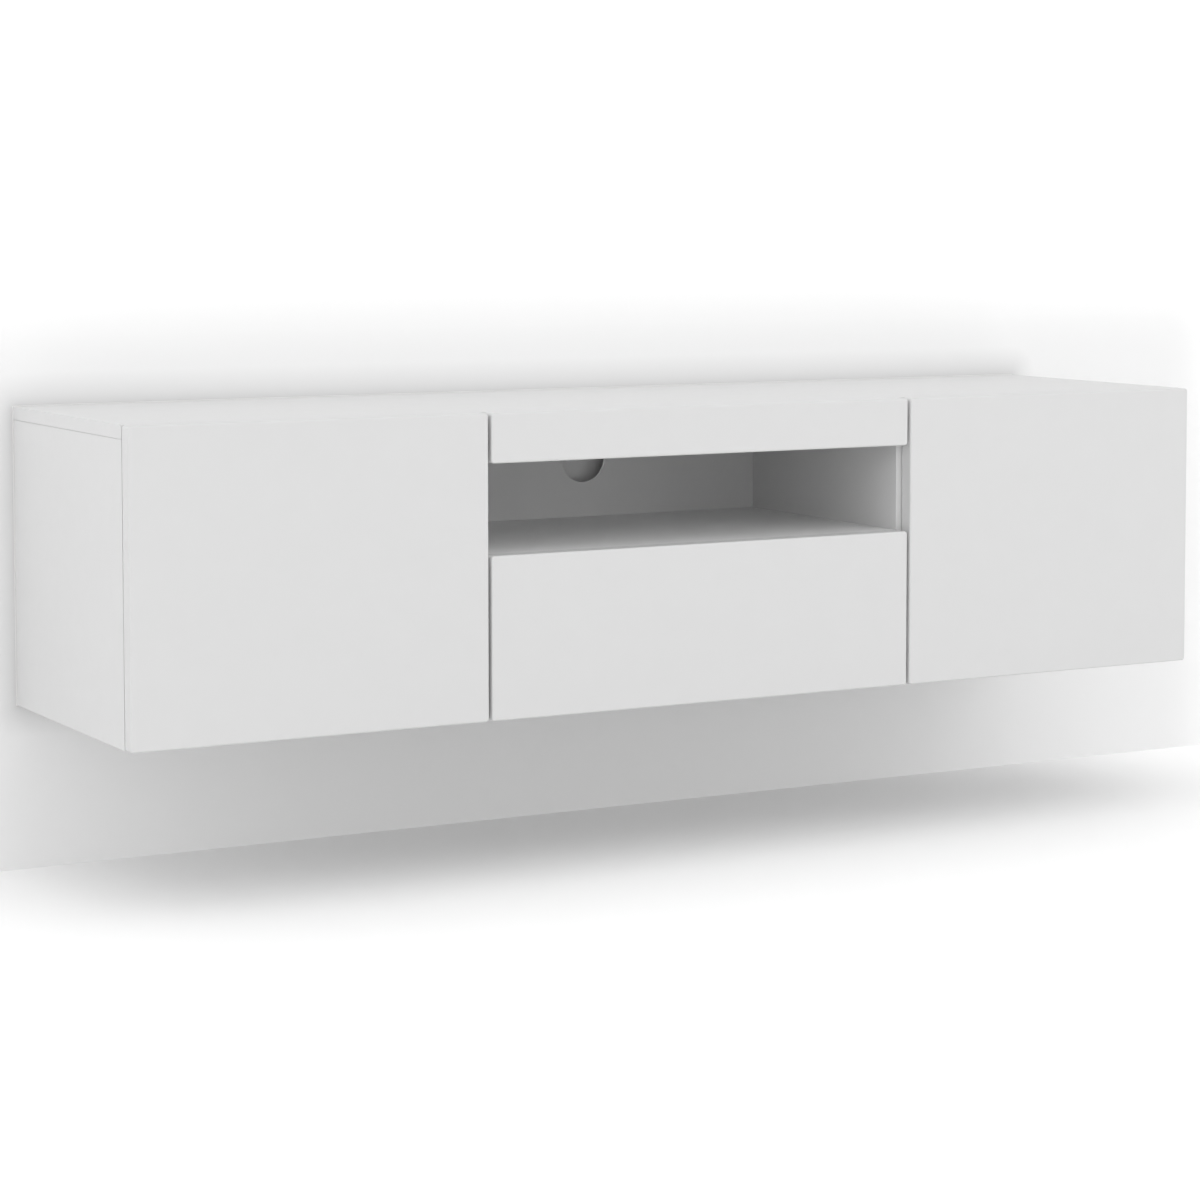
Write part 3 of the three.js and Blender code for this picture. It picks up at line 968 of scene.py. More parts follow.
@dataclass
class Board:
    """A flat board with edging on some of its edges, grooves and bored holes."""

    node: str
    finish: Finish = MELAMINE
    banded: tuple[Edge, ...] = (Edge.FRONT,)
    band: float = 1 * MM
    arris: float = 0.1 * MM
    joint_arris: float = 0.03 * MM
    grooves: tuple[Span, ...] = ()
    holes: tuple[Span, ...] = ()
    hole_radius: float = 2.8 * MM

    def shape(self) -> tuple[Thing, list[Thing]]:
        """Models the board and its edging strips from blocks.

        Returns:
            The board and the strips, not yet finished.
        """
        low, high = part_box(self.node)
        strips, joints = [], []
        for edge in self.banded:
            axis, way = edge.value
            strip_low, strip_high = low.copy(), high.copy()
            if way < 0:
                outer = low[axis.value]
                joint = strip_high[axis.value] = low[axis.value] = outer + self.band
            else:
                outer = high[axis.value]
                joint = strip_low[axis.value] = high[axis.value] = outer - self.band
            strip = block(f"{self.node}_{edge.name.lower()}_edging", strip_low, strip_high)
            round_edges(strip, edges_at(axis, joint), self.joint_arris)
            round_edges(strip, edges_at(axis, outer), self.arris)
            strips.append(strip)
            joints.append(edges_at(axis, joint))

        def at_joint(first: Vector, last: Vector) -> bool:
            """Wants an edge that meets an edging strip."""
            return any(test(first, last) for test in joints)

        def is_free(first: Vector, last: Vector) -> bool:
            """Wants an edge that meets no strip."""
            return (last - first).length > 2 * self.joint_arris and not at_joint(first, last)

        board = block(f"{self.node}_finished", low, high)
        round_edges(board, is_free, self.arris)
        round_edges(board, at_joint, self.joint_arris)
        cutters = [block("groove", *groove) for groove in self.grooves]
        if self.holes:
            bits = [bar("hole", self.hole_radius, *hole, sides=24) for hole in self.holes]
            cutters.append(join(bits))
        return combine(board, cutters, "DIFFERENCE"), strips


def rear_edge(centre: Vector, normal: Vector) -> bool:
    """Wants the faces of a board's sawn rear edge."""
    return normal.y > SQUARE_ON and abs(centre.y) < HAIR


@dataclass
class Grooves:
    """The sizes of grooves for thin panels, and how far a cutter runs past a face."""

    groove_depth: float = 6.3 * MM
    play: float = 0.3 * MM
    overrun: float = 5 * MM


@dataclass
class Carcass(Grooves):
    """The boards of the cabinet, with the niche between its partitions."""

    hole_pitch: float = 32 * MM
    holes_each_way: int = 2
    hole_depth: float = 9.3 * MM
    cable_hole_arris: float = 0.6 * MM
    cable_hole_radius: float = 32.5 * MM
    cable_hole_place: tuple[float, float] = (27 * MM, -83.5 * MM)

    def groove(self, low_x: float, high_x: float, low_z: float, high_z: float) -> Span:
        """Gives the corners of the cutter for a back panel's groove.

        Args:
            low_x: where it starts across.
            high_x: where it ends across.
            low_z: its lowest level.
            high_z: its highest level.

        Returns:
            The cutter's lowest and highest corners.
        """
        back_low, back_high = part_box("niche_back_panel")
        return (
            Vector((low_x, back_low.y - self.play, low_z)),
            Vector((high_x, back_high.y + self.play, high_z)),
        )

    def pin_holes(self, face_x: float, into: float, side: str) -> tuple[Span, ...]:
        """Gives the rows of shelf-pin holes in one face.

        Args:
            face_x: where the face is.
            into: the way that the holes run, -1 or 1.
            side: outer or inner, as in the pins' names.

        Returns:
            The start and end of each hole.
        """
        found = []
        for end in ("front", "rear"):
            middle = sum(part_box(f"left_{side}_{end}_shelf_pin"), Vector()) / 2
            for step in range(-self.holes_each_way, self.holes_each_way + 1):
                level = middle.z + step * self.hole_pitch
                start = Vector((face_x - into * self.overrun, middle.y, level))
                end_point = Vector((face_x + into * self.hole_depth, middle.y, level))
                found.append((start, end_point))
        return tuple(found)

    def across(self) -> None:
        """Builds the boards that run from side to side."""
        low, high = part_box("top_board")
        side_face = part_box("left_side_panel")[1].x
        reach = side_face - self.groove_depth
        top = Board(
            "top_board",
            banded=(Edge.FRONT, Edge.LEFT, Edge.RIGHT),
            grooves=(self.groove(reach, -reach, low.z - self.overrun, low.z + self.groove_depth),),
        )
        foot_low, foot_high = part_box("bottom_board")
        across = (foot_low.x - self.overrun, foot_high.x + self.overrun)
        levels = (foot_high.z - self.groove_depth, foot_high.z + self.overrun)
        bottom = Board("bottom_board", grooves=(self.groove(*across, *levels),))
        # The niche's floor takes the brighter white melamine, painted light in place of more light
        for board in (top, bottom, Board("niche_deck", finish=MELAMINE_WITH_PAINTED_LIGHT)):
            self.finish_board(board.node, board.finish, *board.shape())

    def finish_board(self, node: str, finish: Finish, board: Thing, strips: Sequence[Thing]) -> None:
        """Finishes a board and its strips.

        Args:
            node: the board's CAD node.
            finish: the board's finish.
            board: the shaped board.
            strips: its shaped edging strips.
        """
        settle(board, finish, Slot.BOARD, "carcass", [node])
        paint_faces(board, PARTICLE_CORE, rear_edge)
        for strip in strips:
            settle(strip, EDGING, Slot.BOARD, "carcass")

    def uprights(self) -> None:
        """Builds the side panels, the partitions and the loose shelves, left and right."""
        side_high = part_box("left_side_panel")[1]
        part_low, part_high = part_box("left_partition")
        over = self.overrun
        side_levels = (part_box("bottom_board")[1].z - self.groove_depth, side_high.z + over)
        part_levels = (part_low.z - over, part_high.z + over)
        side = Board(
            "left_side_panel",
            banded=(Edge.FRONT, Edge.FOOT),
            grooves=(self.groove(side_high.x - self.groove_depth, side_high.x + over, *side_levels),),
            holes=self.pin_holes(side_high.x, -1, "outer"),
        )
        partition = Board(
            "left_partition",
            grooves=(
                self.groove(part_low.x - over, part_low.x + self.groove_depth, *part_levels),
                self.groove(part_high.x - self.groove_depth, part_high.x + over, *part_levels),
            ),
            holes=self.pin_holes(part_low.x, 1, "inner"),
        )
        for board in (side, partition, Board("left_shelf")):
            shaped, strips = board.shape()
            other = board.node.replace("left", "right")
            twins = [mirrored(strip, strip.name.replace("left", "right")) for strip in strips]
            twin = mirrored(shaped, shaped.name.replace("left", "right"))
            self.finish_board(board.node, board.finish, shaped, strips)
            self.finish_board(other, board.finish, twin, twins)

    def niche_back(self) -> None:
        """Builds the niche's back panel with its round cable hole."""
        low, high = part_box("niche_back_panel")
        panel = block("niche_back_panel_finished", low, high)
        x, z = self.cable_hole_place
        over = self.overrun
        hole = bar("hole", self.cable_hole_radius, (x, low.y - over, z), (x, high.y + over, z), sides=96)
        combine(panel, [hole], "DIFFERENCE")
        reach = self.cable_hole_radius + MM

        def on_rim(first: Vector, last: Vector) -> bool:
            """Wants an edge of the hole's front or rear rim."""
            level = abs(first.y - last.y) < HAIR
            return level and all(math.hypot(end.x - x, end.z - z) < reach for end in (first, last))

        round_edges(panel, on_rim, self.cable_hole_arris)
        settle(panel, MELAMINE, Slot.BOARD, "carcass", ["niche_back_panel"])

    def build(self) -> None:
        """Builds every board of the carcass."""
        self.across()
        self.uprights()
        self.niche_back()


@dataclass
class BackPanels:
    """The two hardboard backs, white inside and screen-pressed brown towards the wall."""

    arris: float = 0.3 * MM
    window_margin: float = 3 * MM
    hook_drop: float = 12 * MM
    hook_rise: float = 24 * MM
    hook_thickness: float = 4 * MM
    hook_width: float = 6 * MM

    def build(self) -> None:
        """Models the left panel with its window for the wall hook, and mirrors it."""
        node = "left_back_panel"
        low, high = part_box(node)
        panel = block(f"{node}_finished", low, high)
        round_edges(panel, every_edge, self.arris)
        hanger_low, hanger_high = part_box("left_wall_hanger")
        middle = (hanger_low.x + hanger_high.x) / 2
        side = self.hook_width / 2 + self.window_margin
        seat = hanger_low.z + self.hook_rise
        window = block(
            "window",
            (middle - side, low.y - MM, seat - self.hook_drop - self.window_margin),
            (middle + side, high.y + MM, seat + self.hook_thickness + self.window_margin),
        )
        combine(panel, [window], "DIFFERENCE")
        for made in finish_pair(panel, "back_panel", HARDBOARD_FACE, Slot.HARDBOARD):
            paint_faces(made, HARDBOARD_REAR, not_to_front)


def not_to_front(centre: Vector, normal: Vector) -> bool:
    """Wants the faces that don't face the front."""
    return normal.y > -ROUGHLY_ON


# Fasteners and fittings


class Head(Enum):
    """The heads of the screws, as radius, height, depth of the countersink and shank radius."""

    COUNTERSUNK = (3.1 * MM, 0.4 * MM, 1.2 * MM, 1.6 * MM)
    PAN = (3.2 * MM, 1.3 * MM, 0.0, 1.7 * MM)
    ADJUSTER = (2.4 * MM, 0.9 * MM, 0.0, 1.9 * MM)
    HANGER = (3.6 * MM, 1.2 * MM, 0.0, 3.0 * MM)


@dataclass(frozen=True)
class ScrewSpot:
    """Where one screw is driven: its name, the seat of its head, which way that faces, and its body."""

    name: str
    seat: tuple[float, float, float]
    facing: tuple[float, float, float]
    body: str


@dataclass
class ScrewSet:
    """Screws of one kind, modelled once with a cross recess and copied to their places."""

    head: Head
    finish: Finish
    slot: Slot
    shank: float = 5 * MM
    sides: int = 24
    recess_width_share: float = 0.3
    recess_length_share: float = 1.25
    recess_depth_share: float = 0.7
    crown_share: float = 0.6

    def pattern(self) -> Thing:
        """Models one screw at the origin, with its head up.

        Returns:
            The finished screw, carried by nothing yet.
        """
        radius, height, sink, shank_radius = self.head.value
        screw = bar("screw", radius, (0, 0, 0), (0, 0, height), sides=self.sides)
        round_edges(screw, edges_at(Axis.UP, height), height * self.crown_share, 3)
        pick_faces(screw, faces_to(Axis.UP, -1))
        narrow = shank_radius / radius
        bpy.ops.mesh.extrude_region_move(TRANSFORM_OT_translate={"value": (0, 0, -sink)})
        bpy.ops.transform.resize(value=(narrow, narrow, 1), center_override=(0, 0, -sink))
        bpy.ops.mesh.extrude_region_move(TRANSFORM_OT_translate={"value": (0, 0, -self.shank)})
        leave_edit()
        half_width = radius * self.recess_width_share / 2
        half_length = radius * self.recess_length_share / 2
        floor = height - (height + sink) * self.recess_depth_share
        slots = [
            block("recess", (-across, -along, floor), (across, along, height * 2))
            for across, along in ((half_width, half_length), (half_length, half_width))
        ]
        combine(screw, slots, "DIFFERENCE")
        return dress(screw, self.finish)

    def drive(self, spots: Sequence[ScrewSpot]) -> None:
        """Puts a copy of the screw in each place.

        Args:
            spots: the places.
        """
        pattern = self.pattern()
        for spot in spots:
            screw = copied(pattern, spot.name)
            screw.rotation_euler = Vector(spot.facing).to_track_quat("Z", "Y").to_euler()
            screw.location = spot.seat
            set_down()
            carry(screw, self.slot, spot.body)
        bpy.data.objects.remove(pattern)


def both_hands(spot: ScrewSpot) -> list[ScrewSpot]:
    """Gives a left-hand screw's place and its mirror image.

    Args:
        spot: the left-hand place.

    Returns:
        The left-hand place and the right-hand one.
    """
    (x, y, z), (dx, dy, dz) = spot.seat, spot.facing
    twin = ScrewSpot(
        spot.name.replace("left", "right"),
        (-x, y, z),
        (-dx, dy, dz),
        spot.body.replace("left", "right"),
    )
    return [spot, twin]


def refined(node: str, radius: float, steps: int = 2) -> Thing:
    """Copies a CAD node's mesh, merges its loose triangles to whole faces and softens its edges.

    Args:
        node: the CAD node.
        radius: the radius of its softened edges.
        steps: how many steps the softening has.

    Returns:
        The copy, not yet finished.
    """
    made = bpy.data.objects.new(f"{node}_finished", frame["nodes"][node].data.copy())
    bpy.context.scene.collection.objects.link(made)
    pick_merged(made)
    bpy.ops.mesh.dissolve_limited(angle_limit=FLAT_ANGLE)
    leave_edit()
    modify(made, "BEVEL", width=radius, segments=steps, limit_method="ANGLE", angle_limit=SMOOTH_ANGLE)
    return made


@dataclass
class CupHinge:
    """The four concealed hinges: a cup in the door, an arm, and a plate on the side panel."""

    cup_radius: float = 17.2 * MM
    cup_wall: float = 1 * MM
    cup_floor: float = 0.8 * MM
    flange: float = 1 * MM
    flange_radius: float = 18.6 * MM
    wing_width: float = 14 * MM
    wing_length: float = 62 * MM
    wing_shift: float = 6 * MM
    wing_round_share: float = 0.49
    wing_steps: int = 8
    wing_screw_reach: float = 24 * MM
    notch_half_width: float = 6 * MM
    notch_reach: float = 12 * MM
    notch_start: float = 25.8 * MM
    notch_floor: float = 6.3 * MM
    stub_radius: float = 1.2 * MM
    stub_sides: int = 16
    stub_place: tuple[float, float] = (4 * MM, 9 * MM)
    stub_reach: tuple[float, float] = (5 * MM, 10.2 * MM)
    link_pin_place: tuple[float, float] = (20 * MM, 7 * MM)
    rivet_radius: float = 1.9 * MM
    rivet_head: float = 0.5 * MM
    rivet_crown_share: float = 0.8
    rivet_sides: int = 24
    pressing_radius: float = 0.25 * MM
    pot_foot_radius: float = 1 * MM
    hollow_foot_radius: float = 0.75 * MM
    foot_steps: int = 3
    plate_sheet: float = 2 * MM
    plate_screw_reach: float = 16 * MM
    plate_screw_setback: float = 20 * MM
    adjuster_shares: tuple[float, float] = (0.35, 0.82)
    sides: int = 64

    @classmethod
    def pot_middle(cls, node: str) -> Vector:
        """Finds the middle of a cup's round pot, from its flange's whole side.

        Args:
            node: the cup's CAD node.

        Returns:
            The middle of the pot.
        """
        low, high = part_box(node)
        middle = (low + high) / 2
        middle.x = high.x - cls.flange_radius if middle.x < 0 else low.x + cls.flange_radius
        return middle

    def axis(self) -> Vector:
        """Gives a point of the left door's axis, from the frame's joint."""
        joint = next(j for j in frame["joints"] if j["name"] == "left_door_swing")
        return Vector(joint["pos_m"])

    def cup(self) -> Thing:
        """Models the lower left cup: a pot with a flange and screw wings, open towards the arm.

        Returns:
            The cup, not yet finished.
        """
        low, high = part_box("left_lower_hinge_cup")
        x, _, z = self.pot_middle("left_lower_hinge_cup")
        seat = high.y - self.flange
        beyond = high.y + self.cup_radius
        pot = bar("left_lower_hinge_cup_finished", self.cup_radius, (x, low.y, z), (x, high.y, z), self.sides)
        round_edges(pot, edges_at(Axis.DEEP, low.y), self.pot_foot_radius, self.foot_steps)
        rim = bar("rim", self.flange_radius, (x, seat, z), (x, high.y, z), self.sides)
        round_edges(rim, edges_at(Axis.DEEP, high.y), self.pressing_radius)
        wing_x, half = x + self.wing_shift, self.wing_length / 2
        wing = block(
            "wing",
            (wing_x - self.wing_width / 2, seat, z - half),
            (wing_x + self.wing_width / 2, high.y, z + half),
        )
        corner = self.wing_width * self.wing_round_share
        round_edges(wing, edges_along(Axis.DEEP), corner, self.wing_steps)
        round_edges(wing, edges_at(Axis.DEEP, high.y), self.pressing_radius)
        combine(pot, [rim, wing], "UNION")
        inside = self.cup_radius - self.cup_wall
        floor = low.y + self.cup_floor
        hollow = bar("hollow", inside, (x, floor, z), (x, beyond, z), self.sides)
        round_edges(hollow, edges_at(Axis.DEEP, floor), self.hollow_foot_radius, self.foot_steps)
        notch = block(
            "notch",
            (x - self.notch_start, low.y + self.notch_floor, z - self.notch_half_width),
            (x - self.notch_reach, beyond, z + self.notch_half_width),
        )
        combine(pot, [hollow, notch], "DIFFERENCE")
        stub_x, stub_y = (value + start for value, start in zip(self.stub_place, self.axis()))
        stubs = []
        for way in (-1, 1):
            start, end = (Vector((stub_x, stub_y, z + way * reach)) for reach in self.stub_reach)
            stubs.append(bar("stub", self.stub_radius, start, end, self.stub_sides))
        return combine(pot, stubs, "UNION")

    def pieces(self, kind: str, lower_left: Thing, body: str) -> None:
        """Copies a lower left piece to its four places, and finishes each.

        Args:
            kind: the piece's kind, as in the CAD nodes' names.
            lower_left: the shaped piece.
            body: the left-hand body that carries it.
        """
        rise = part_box(f"left_upper_{kind}")[0].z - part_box(f"left_lower_{kind}")[0].z
        upper_left = copied(lower_left, f"left_upper_{kind}_finished", (0, 0, rise))
        for level, left in (("lower", lower_left), ("upper", upper_left)):
            finish_pair(left, f"{level}_{kind}", NICKEL, Slot.NICKEL, body)

    def arm(self) -> Thing:
        """Models the lower left arm: the pressed channel with its rivet heads.

        Returns:
            The arm, not yet finished.
        """
        low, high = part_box("left_lower_hinge_arm")
        arm = refined("left_lower_hinge_arm", self.pressing_radius)
        x, y = (value + start for value, start in zip(self.link_pin_place, self.axis()))
        rivets = []
        for face, way in ((low.z, -1), (high.z, 1)):
            root, tip = face - way * self.rivet_head, face + way * self.rivet_head
            rivet = bar("rivet", self.rivet_radius, (x, y, root), (x, y, tip), self.rivet_sides)
            round_edges(rivet, edges_at(Axis.UP, tip), self.rivet_head * self.rivet_crown_share, 3)
            rivets.append(rivet)
        return combine(arm, rivets, "UNION")

    def build(self) -> None:
        """Builds the cups, arms, plates and links, and drives their screws."""
        self.pieces("hinge_cup", self.cup(), "left_door")
        self.pieces("hinge_arm", self.arm(), "carcass")
        self.pieces("hinge_plate", refined("left_lower_hinge_plate", self.pressing_radius), "carcass")
        link = refined("left_lower_hinge_link", self.pressing_radius / 2)
        self.pieces("hinge_link", link, "left_hinge_links")
        self.screws()

    def screws(self) -> None:
        """Drives the cup, plate and adjusting screws of all four hinges."""
        cup_spots, plate_spots, adjuster_spots = [], [], []
        for level in ("lower", "upper"):
            cup = f"left_{level}_hinge_cup"
            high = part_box(cup)[1]
            x, _, z = self.pot_middle(cup) + Vector((self.wing_shift, 0, 0))
            for end, way in (("low", -1), ("high", 1)):
                seat = (x, high.y, z + way * self.wing_screw_reach)
                name = f"left_{level}_cup_{end}_screw"
                cup_spots += both_hands(ScrewSpot(name, seat, (0, 1, 0), "left_door"))
            low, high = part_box(f"left_{level}_hinge_plate")
            wing_y = low.y + self.plate_screw_setback
            for end, way in (("low", -1), ("high", 1)):
                seat = (low.x + self.plate_sheet, wing_y, z + way * self.plate_screw_reach)
                name = f"left_{level}_plate_{end}_screw"
                plate_spots += both_hands(ScrewSpot(name, seat, (1, 0, 0), "carcass"))
            low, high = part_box(f"left_{level}_hinge_arm")
            for use, share in zip(("overlay", "depth"), self.adjuster_shares):
                seat = (high.x, low.y + share * (high.y - low.y), z)
                name = f"left_{level}_{use}_adjuster"
                adjuster_spots += both_hands(ScrewSpot(name, seat, (1, 0, 0), "carcass"))
        ScrewSet(Head.COUNTERSUNK, NICKEL, Slot.NICKEL).drive(cup_spots)
        ScrewSet(Head.PAN, NICKEL, Slot.NICKEL).drive(plate_spots)
        ScrewSet(Head.ADJUSTER, ZINC, Slot.NICKEL, shank=0.5 * MM).drive(adjuster_spots)


@dataclass
class ShelfPins:
    """The eight steel pins that carry the loose shelves, each with a collar."""

    pin_radius: float = 2.5 * MM
    collar_radius: float = 4 * MM
    collar_place: tuple[float, float] = (0.3 * MM, 0.7 * MM)
    tip_radius: float = 0.6 * MM
    sides: int = 32

    def build(self) -> None:
        """Models one pin and copies it to its eight places."""
        for side, way in (("outer", 1), ("inner", -1)):
            low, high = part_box(f"left_{side}_front_shelf_pin")
            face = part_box("left_side_panel")[1].x if way > 0 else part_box("left_partition")[0].x
            middle = (low + high) / 2
            start, end = (low.x, middle.y, middle.z), (high.x, middle.y, middle.z)
            pin = bar(f"left_{side}_front_shelf_pin_finished", self.pin_radius, start, end, self.sides)
            for level in (low.x, high.x):
                round_edges(pin, edges_at(Axis.ACROSS, level), self.tip_radius, 3)
            ends = (Vector((face + way * reach, middle.y, middle.z)) for reach in self.collar_place)
            combine(pin, [bar("collar", self.collar_radius, *ends, self.sides)], "UNION")
            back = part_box(f"left_{side}_rear_shelf_pin")[0].y - low.y
            rear = copied(pin, f"left_{side}_rear_shelf_pin_finished", (0, back, 0))
            for place, left in (("front", pin), ("rear", rear)):
                finish_pair(left, f"{side}_{place}_shelf_pin", ZINC, Slot.ZINC)


@dataclass
class PushLatch:
    """The push latches: a screwed housing, its plunger and the strike plate on the door."""

    housing_edge: float = 0.6 * MM
    head_edge: float = 0.8 * MM / 3
    plate_edge: float = 0.3 * MM
    screw_shares: tuple[float, float] = (0.3, 0.85)

    def build(self) -> None:
        """Builds both latches and drives their screws up into the top board."""
        housing = refined("left_push_latch", self.housing_edge, 3)
        finish_pair(housing, "push_latch", PLASTIC, Slot.PLASTIC)
        plunger = refined("left_latch_plunger", self.head_edge)
        finish_pair(plunger, "latch_plunger", PLASTIC, Slot.PLASTIC, "left_latch_plunger_body")
        plate = refined("left_strike_plate", self.plate_edge)
        finish_pair(plate, "strike_plate", ZINC, Slot.ZINC, "left_door")
        low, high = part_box("left_push_latch")
        spots = []
        for end, share in zip(("front", "rear"), self.screw_shares):
            seat = ((low.x + high.x) / 2, low.y + share * (high.y - low.y), low.z)
            spots += both_hands(ScrewSpot(f"left_latch_{end}_screw", seat, (0, 0, -1), "carcass"))
        ScrewSet(Head.COUNTERSUNK, ZINC, Slot.PLASTIC, shank=MM).drive(spots)


@dataclass
class WallFixing:
    """The wall hangers in the upper rear corners, and the bent plates that they hook over."""

    housing_edge: float = 0.8 * MM
    bend_radius: float = 0.7 * MM
    screw_shares: tuple[float, float] = (0.28, 0.72)

    def build(self) -> None:
        """Builds both hangers with their adjusting screws, and both wall plates."""
        for kind, radius in (("wall_hanger", self.housing_edge), ("wall_plate", self.bend_radius)):
            finish_pair(refined(f"left_{kind}", radius, 3), kind, ZINC, Slot.ZINC)
        low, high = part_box("left_wall_hanger")
        spots = []
        for use, share in zip(("reach", "level"), self.screw_shares):
            seat = ((low.x + high.x) / 2, low.y, low.z + share * (high.z - low.z))
            spots += both_hands(ScrewSpot(f"left_hanger_{use}_screw", seat, (0, -1, 0), "carcass"))
        ScrewSet(Head.HANGER, ZINC, Slot.ZINC).drive(spots)


@dataclass
class Runners:
    """The drawer's telescopic runners, three rolled channels on each side."""

    roll_radius: float = 0.5 * MM
    sheet: float = 1.2 * MM
    screw_shares: tuple[float, float, float] = (0.11, 0.47, 0.83)

    def build(self) -> None:
        """Builds the channels and drives the screws that hold the outer two."""
        bodies = {"cabinet": "carcass", "middle": "middle_runners", "drawer": "drawer"}
        spots = []
        for part, body in bodies.items():
            kind = f"{part}_runner"
            finish_pair(refined(f"left_{kind}", self.roll_radius), kind, ZINC, Slot.ZINC, body)
            if part == "middle":
                continue
            low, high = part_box(f"left_{kind}")
            inward = part == "cabinet"
            seat_x = low.x + self.sheet if inward else high.x - self.sheet
            for place, share in zip(("front", "middle", "rear"), self.screw_shares):
                seat = (seat_x, low.y + share * (high.y - low.y), (low.z + high.z) / 2)
                facing = (1 if inward else -1, 0, 0)
                spots += both_hands(ScrewSpot(f"left_{kind}_{place}_screw", seat, facing, body))
        ScrewSet(Head.PAN, ZINC, Slot.ZINC).drive(spots)


@dataclass
class DrawerBox(Grooves):
    """The foil-wrapped drawer box behind its front."""

    screw_shares: tuple[float, float] = (0.2, 0.8)

    def board(self, node: str, grooves: tuple[Span, ...] = ()) -> Thing:
        """Models one board of the box.

        Args:
            node: its CAD node.
            grooves: the corners of its grooves' cutters.

        Returns:
            The board, not yet finished.
        """
        return Board(node, banded=(), grooves=grooves).shape()[0]

    def build(self) -> None:
        """Builds the two sides, the back and the bottom, and screws the back on."""
        low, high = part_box("left_drawer_side")
        floor_low, floor_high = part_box("drawer_bottom")
        over = self.overrun
        groove = (
            Vector((high.x - self.groove_depth, low.y - over, floor_low.z - self.play)),
            Vector((high.x + over, high.y + over, floor_high.z + self.play)),
        )
        side = self.board("left_drawer_side", (groove,))
        finish_pair(side, "drawer_side", FOIL, Slot.DRAWER, "drawer")
        for node in ("drawer_back", "drawer_bottom"):
            settle(self.board(node), FOIL, Slot.DRAWER, "drawer", [node])
        back_low, back_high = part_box("drawer_back")
        spots = []
        for level, share in zip(("low", "high"), self.screw_shares):
            seat = (low.x, (back_low.y + back_high.y) / 2, back_low.z + share * (back_high.z - back_low.z))
            spots += both_hands(ScrewSpot(f"left_drawer_{level}_screw", seat, (-1, 0, 0), "drawer"))
        ScrewSet(Head.COUNTERSUNK, ZINC, Slot.DRAWER).drive(spots)


# Studio


@dataclass(frozen=True)
class Fade:
    """How a studio plane turns to pure white for the camera, away from the console's shadow.

    Attributes:
        low: the lowest corner of the box in which the plane keeps its own level.
        high: the box's highest corner.
        reach: how far outside the box the lift is complete.
        lift: the light that is added there, where 1 is white.
    """

    low: tuple[float, float, float]
    high: tuple[float, float, float]
    reach: float
    lift: float


@dataclass(frozen=True)
class Lamp:
    """One large soft lamp: its name, its power in watts and where it stands."""

    name: str
    power: float
    place: tuple[float, float, float]


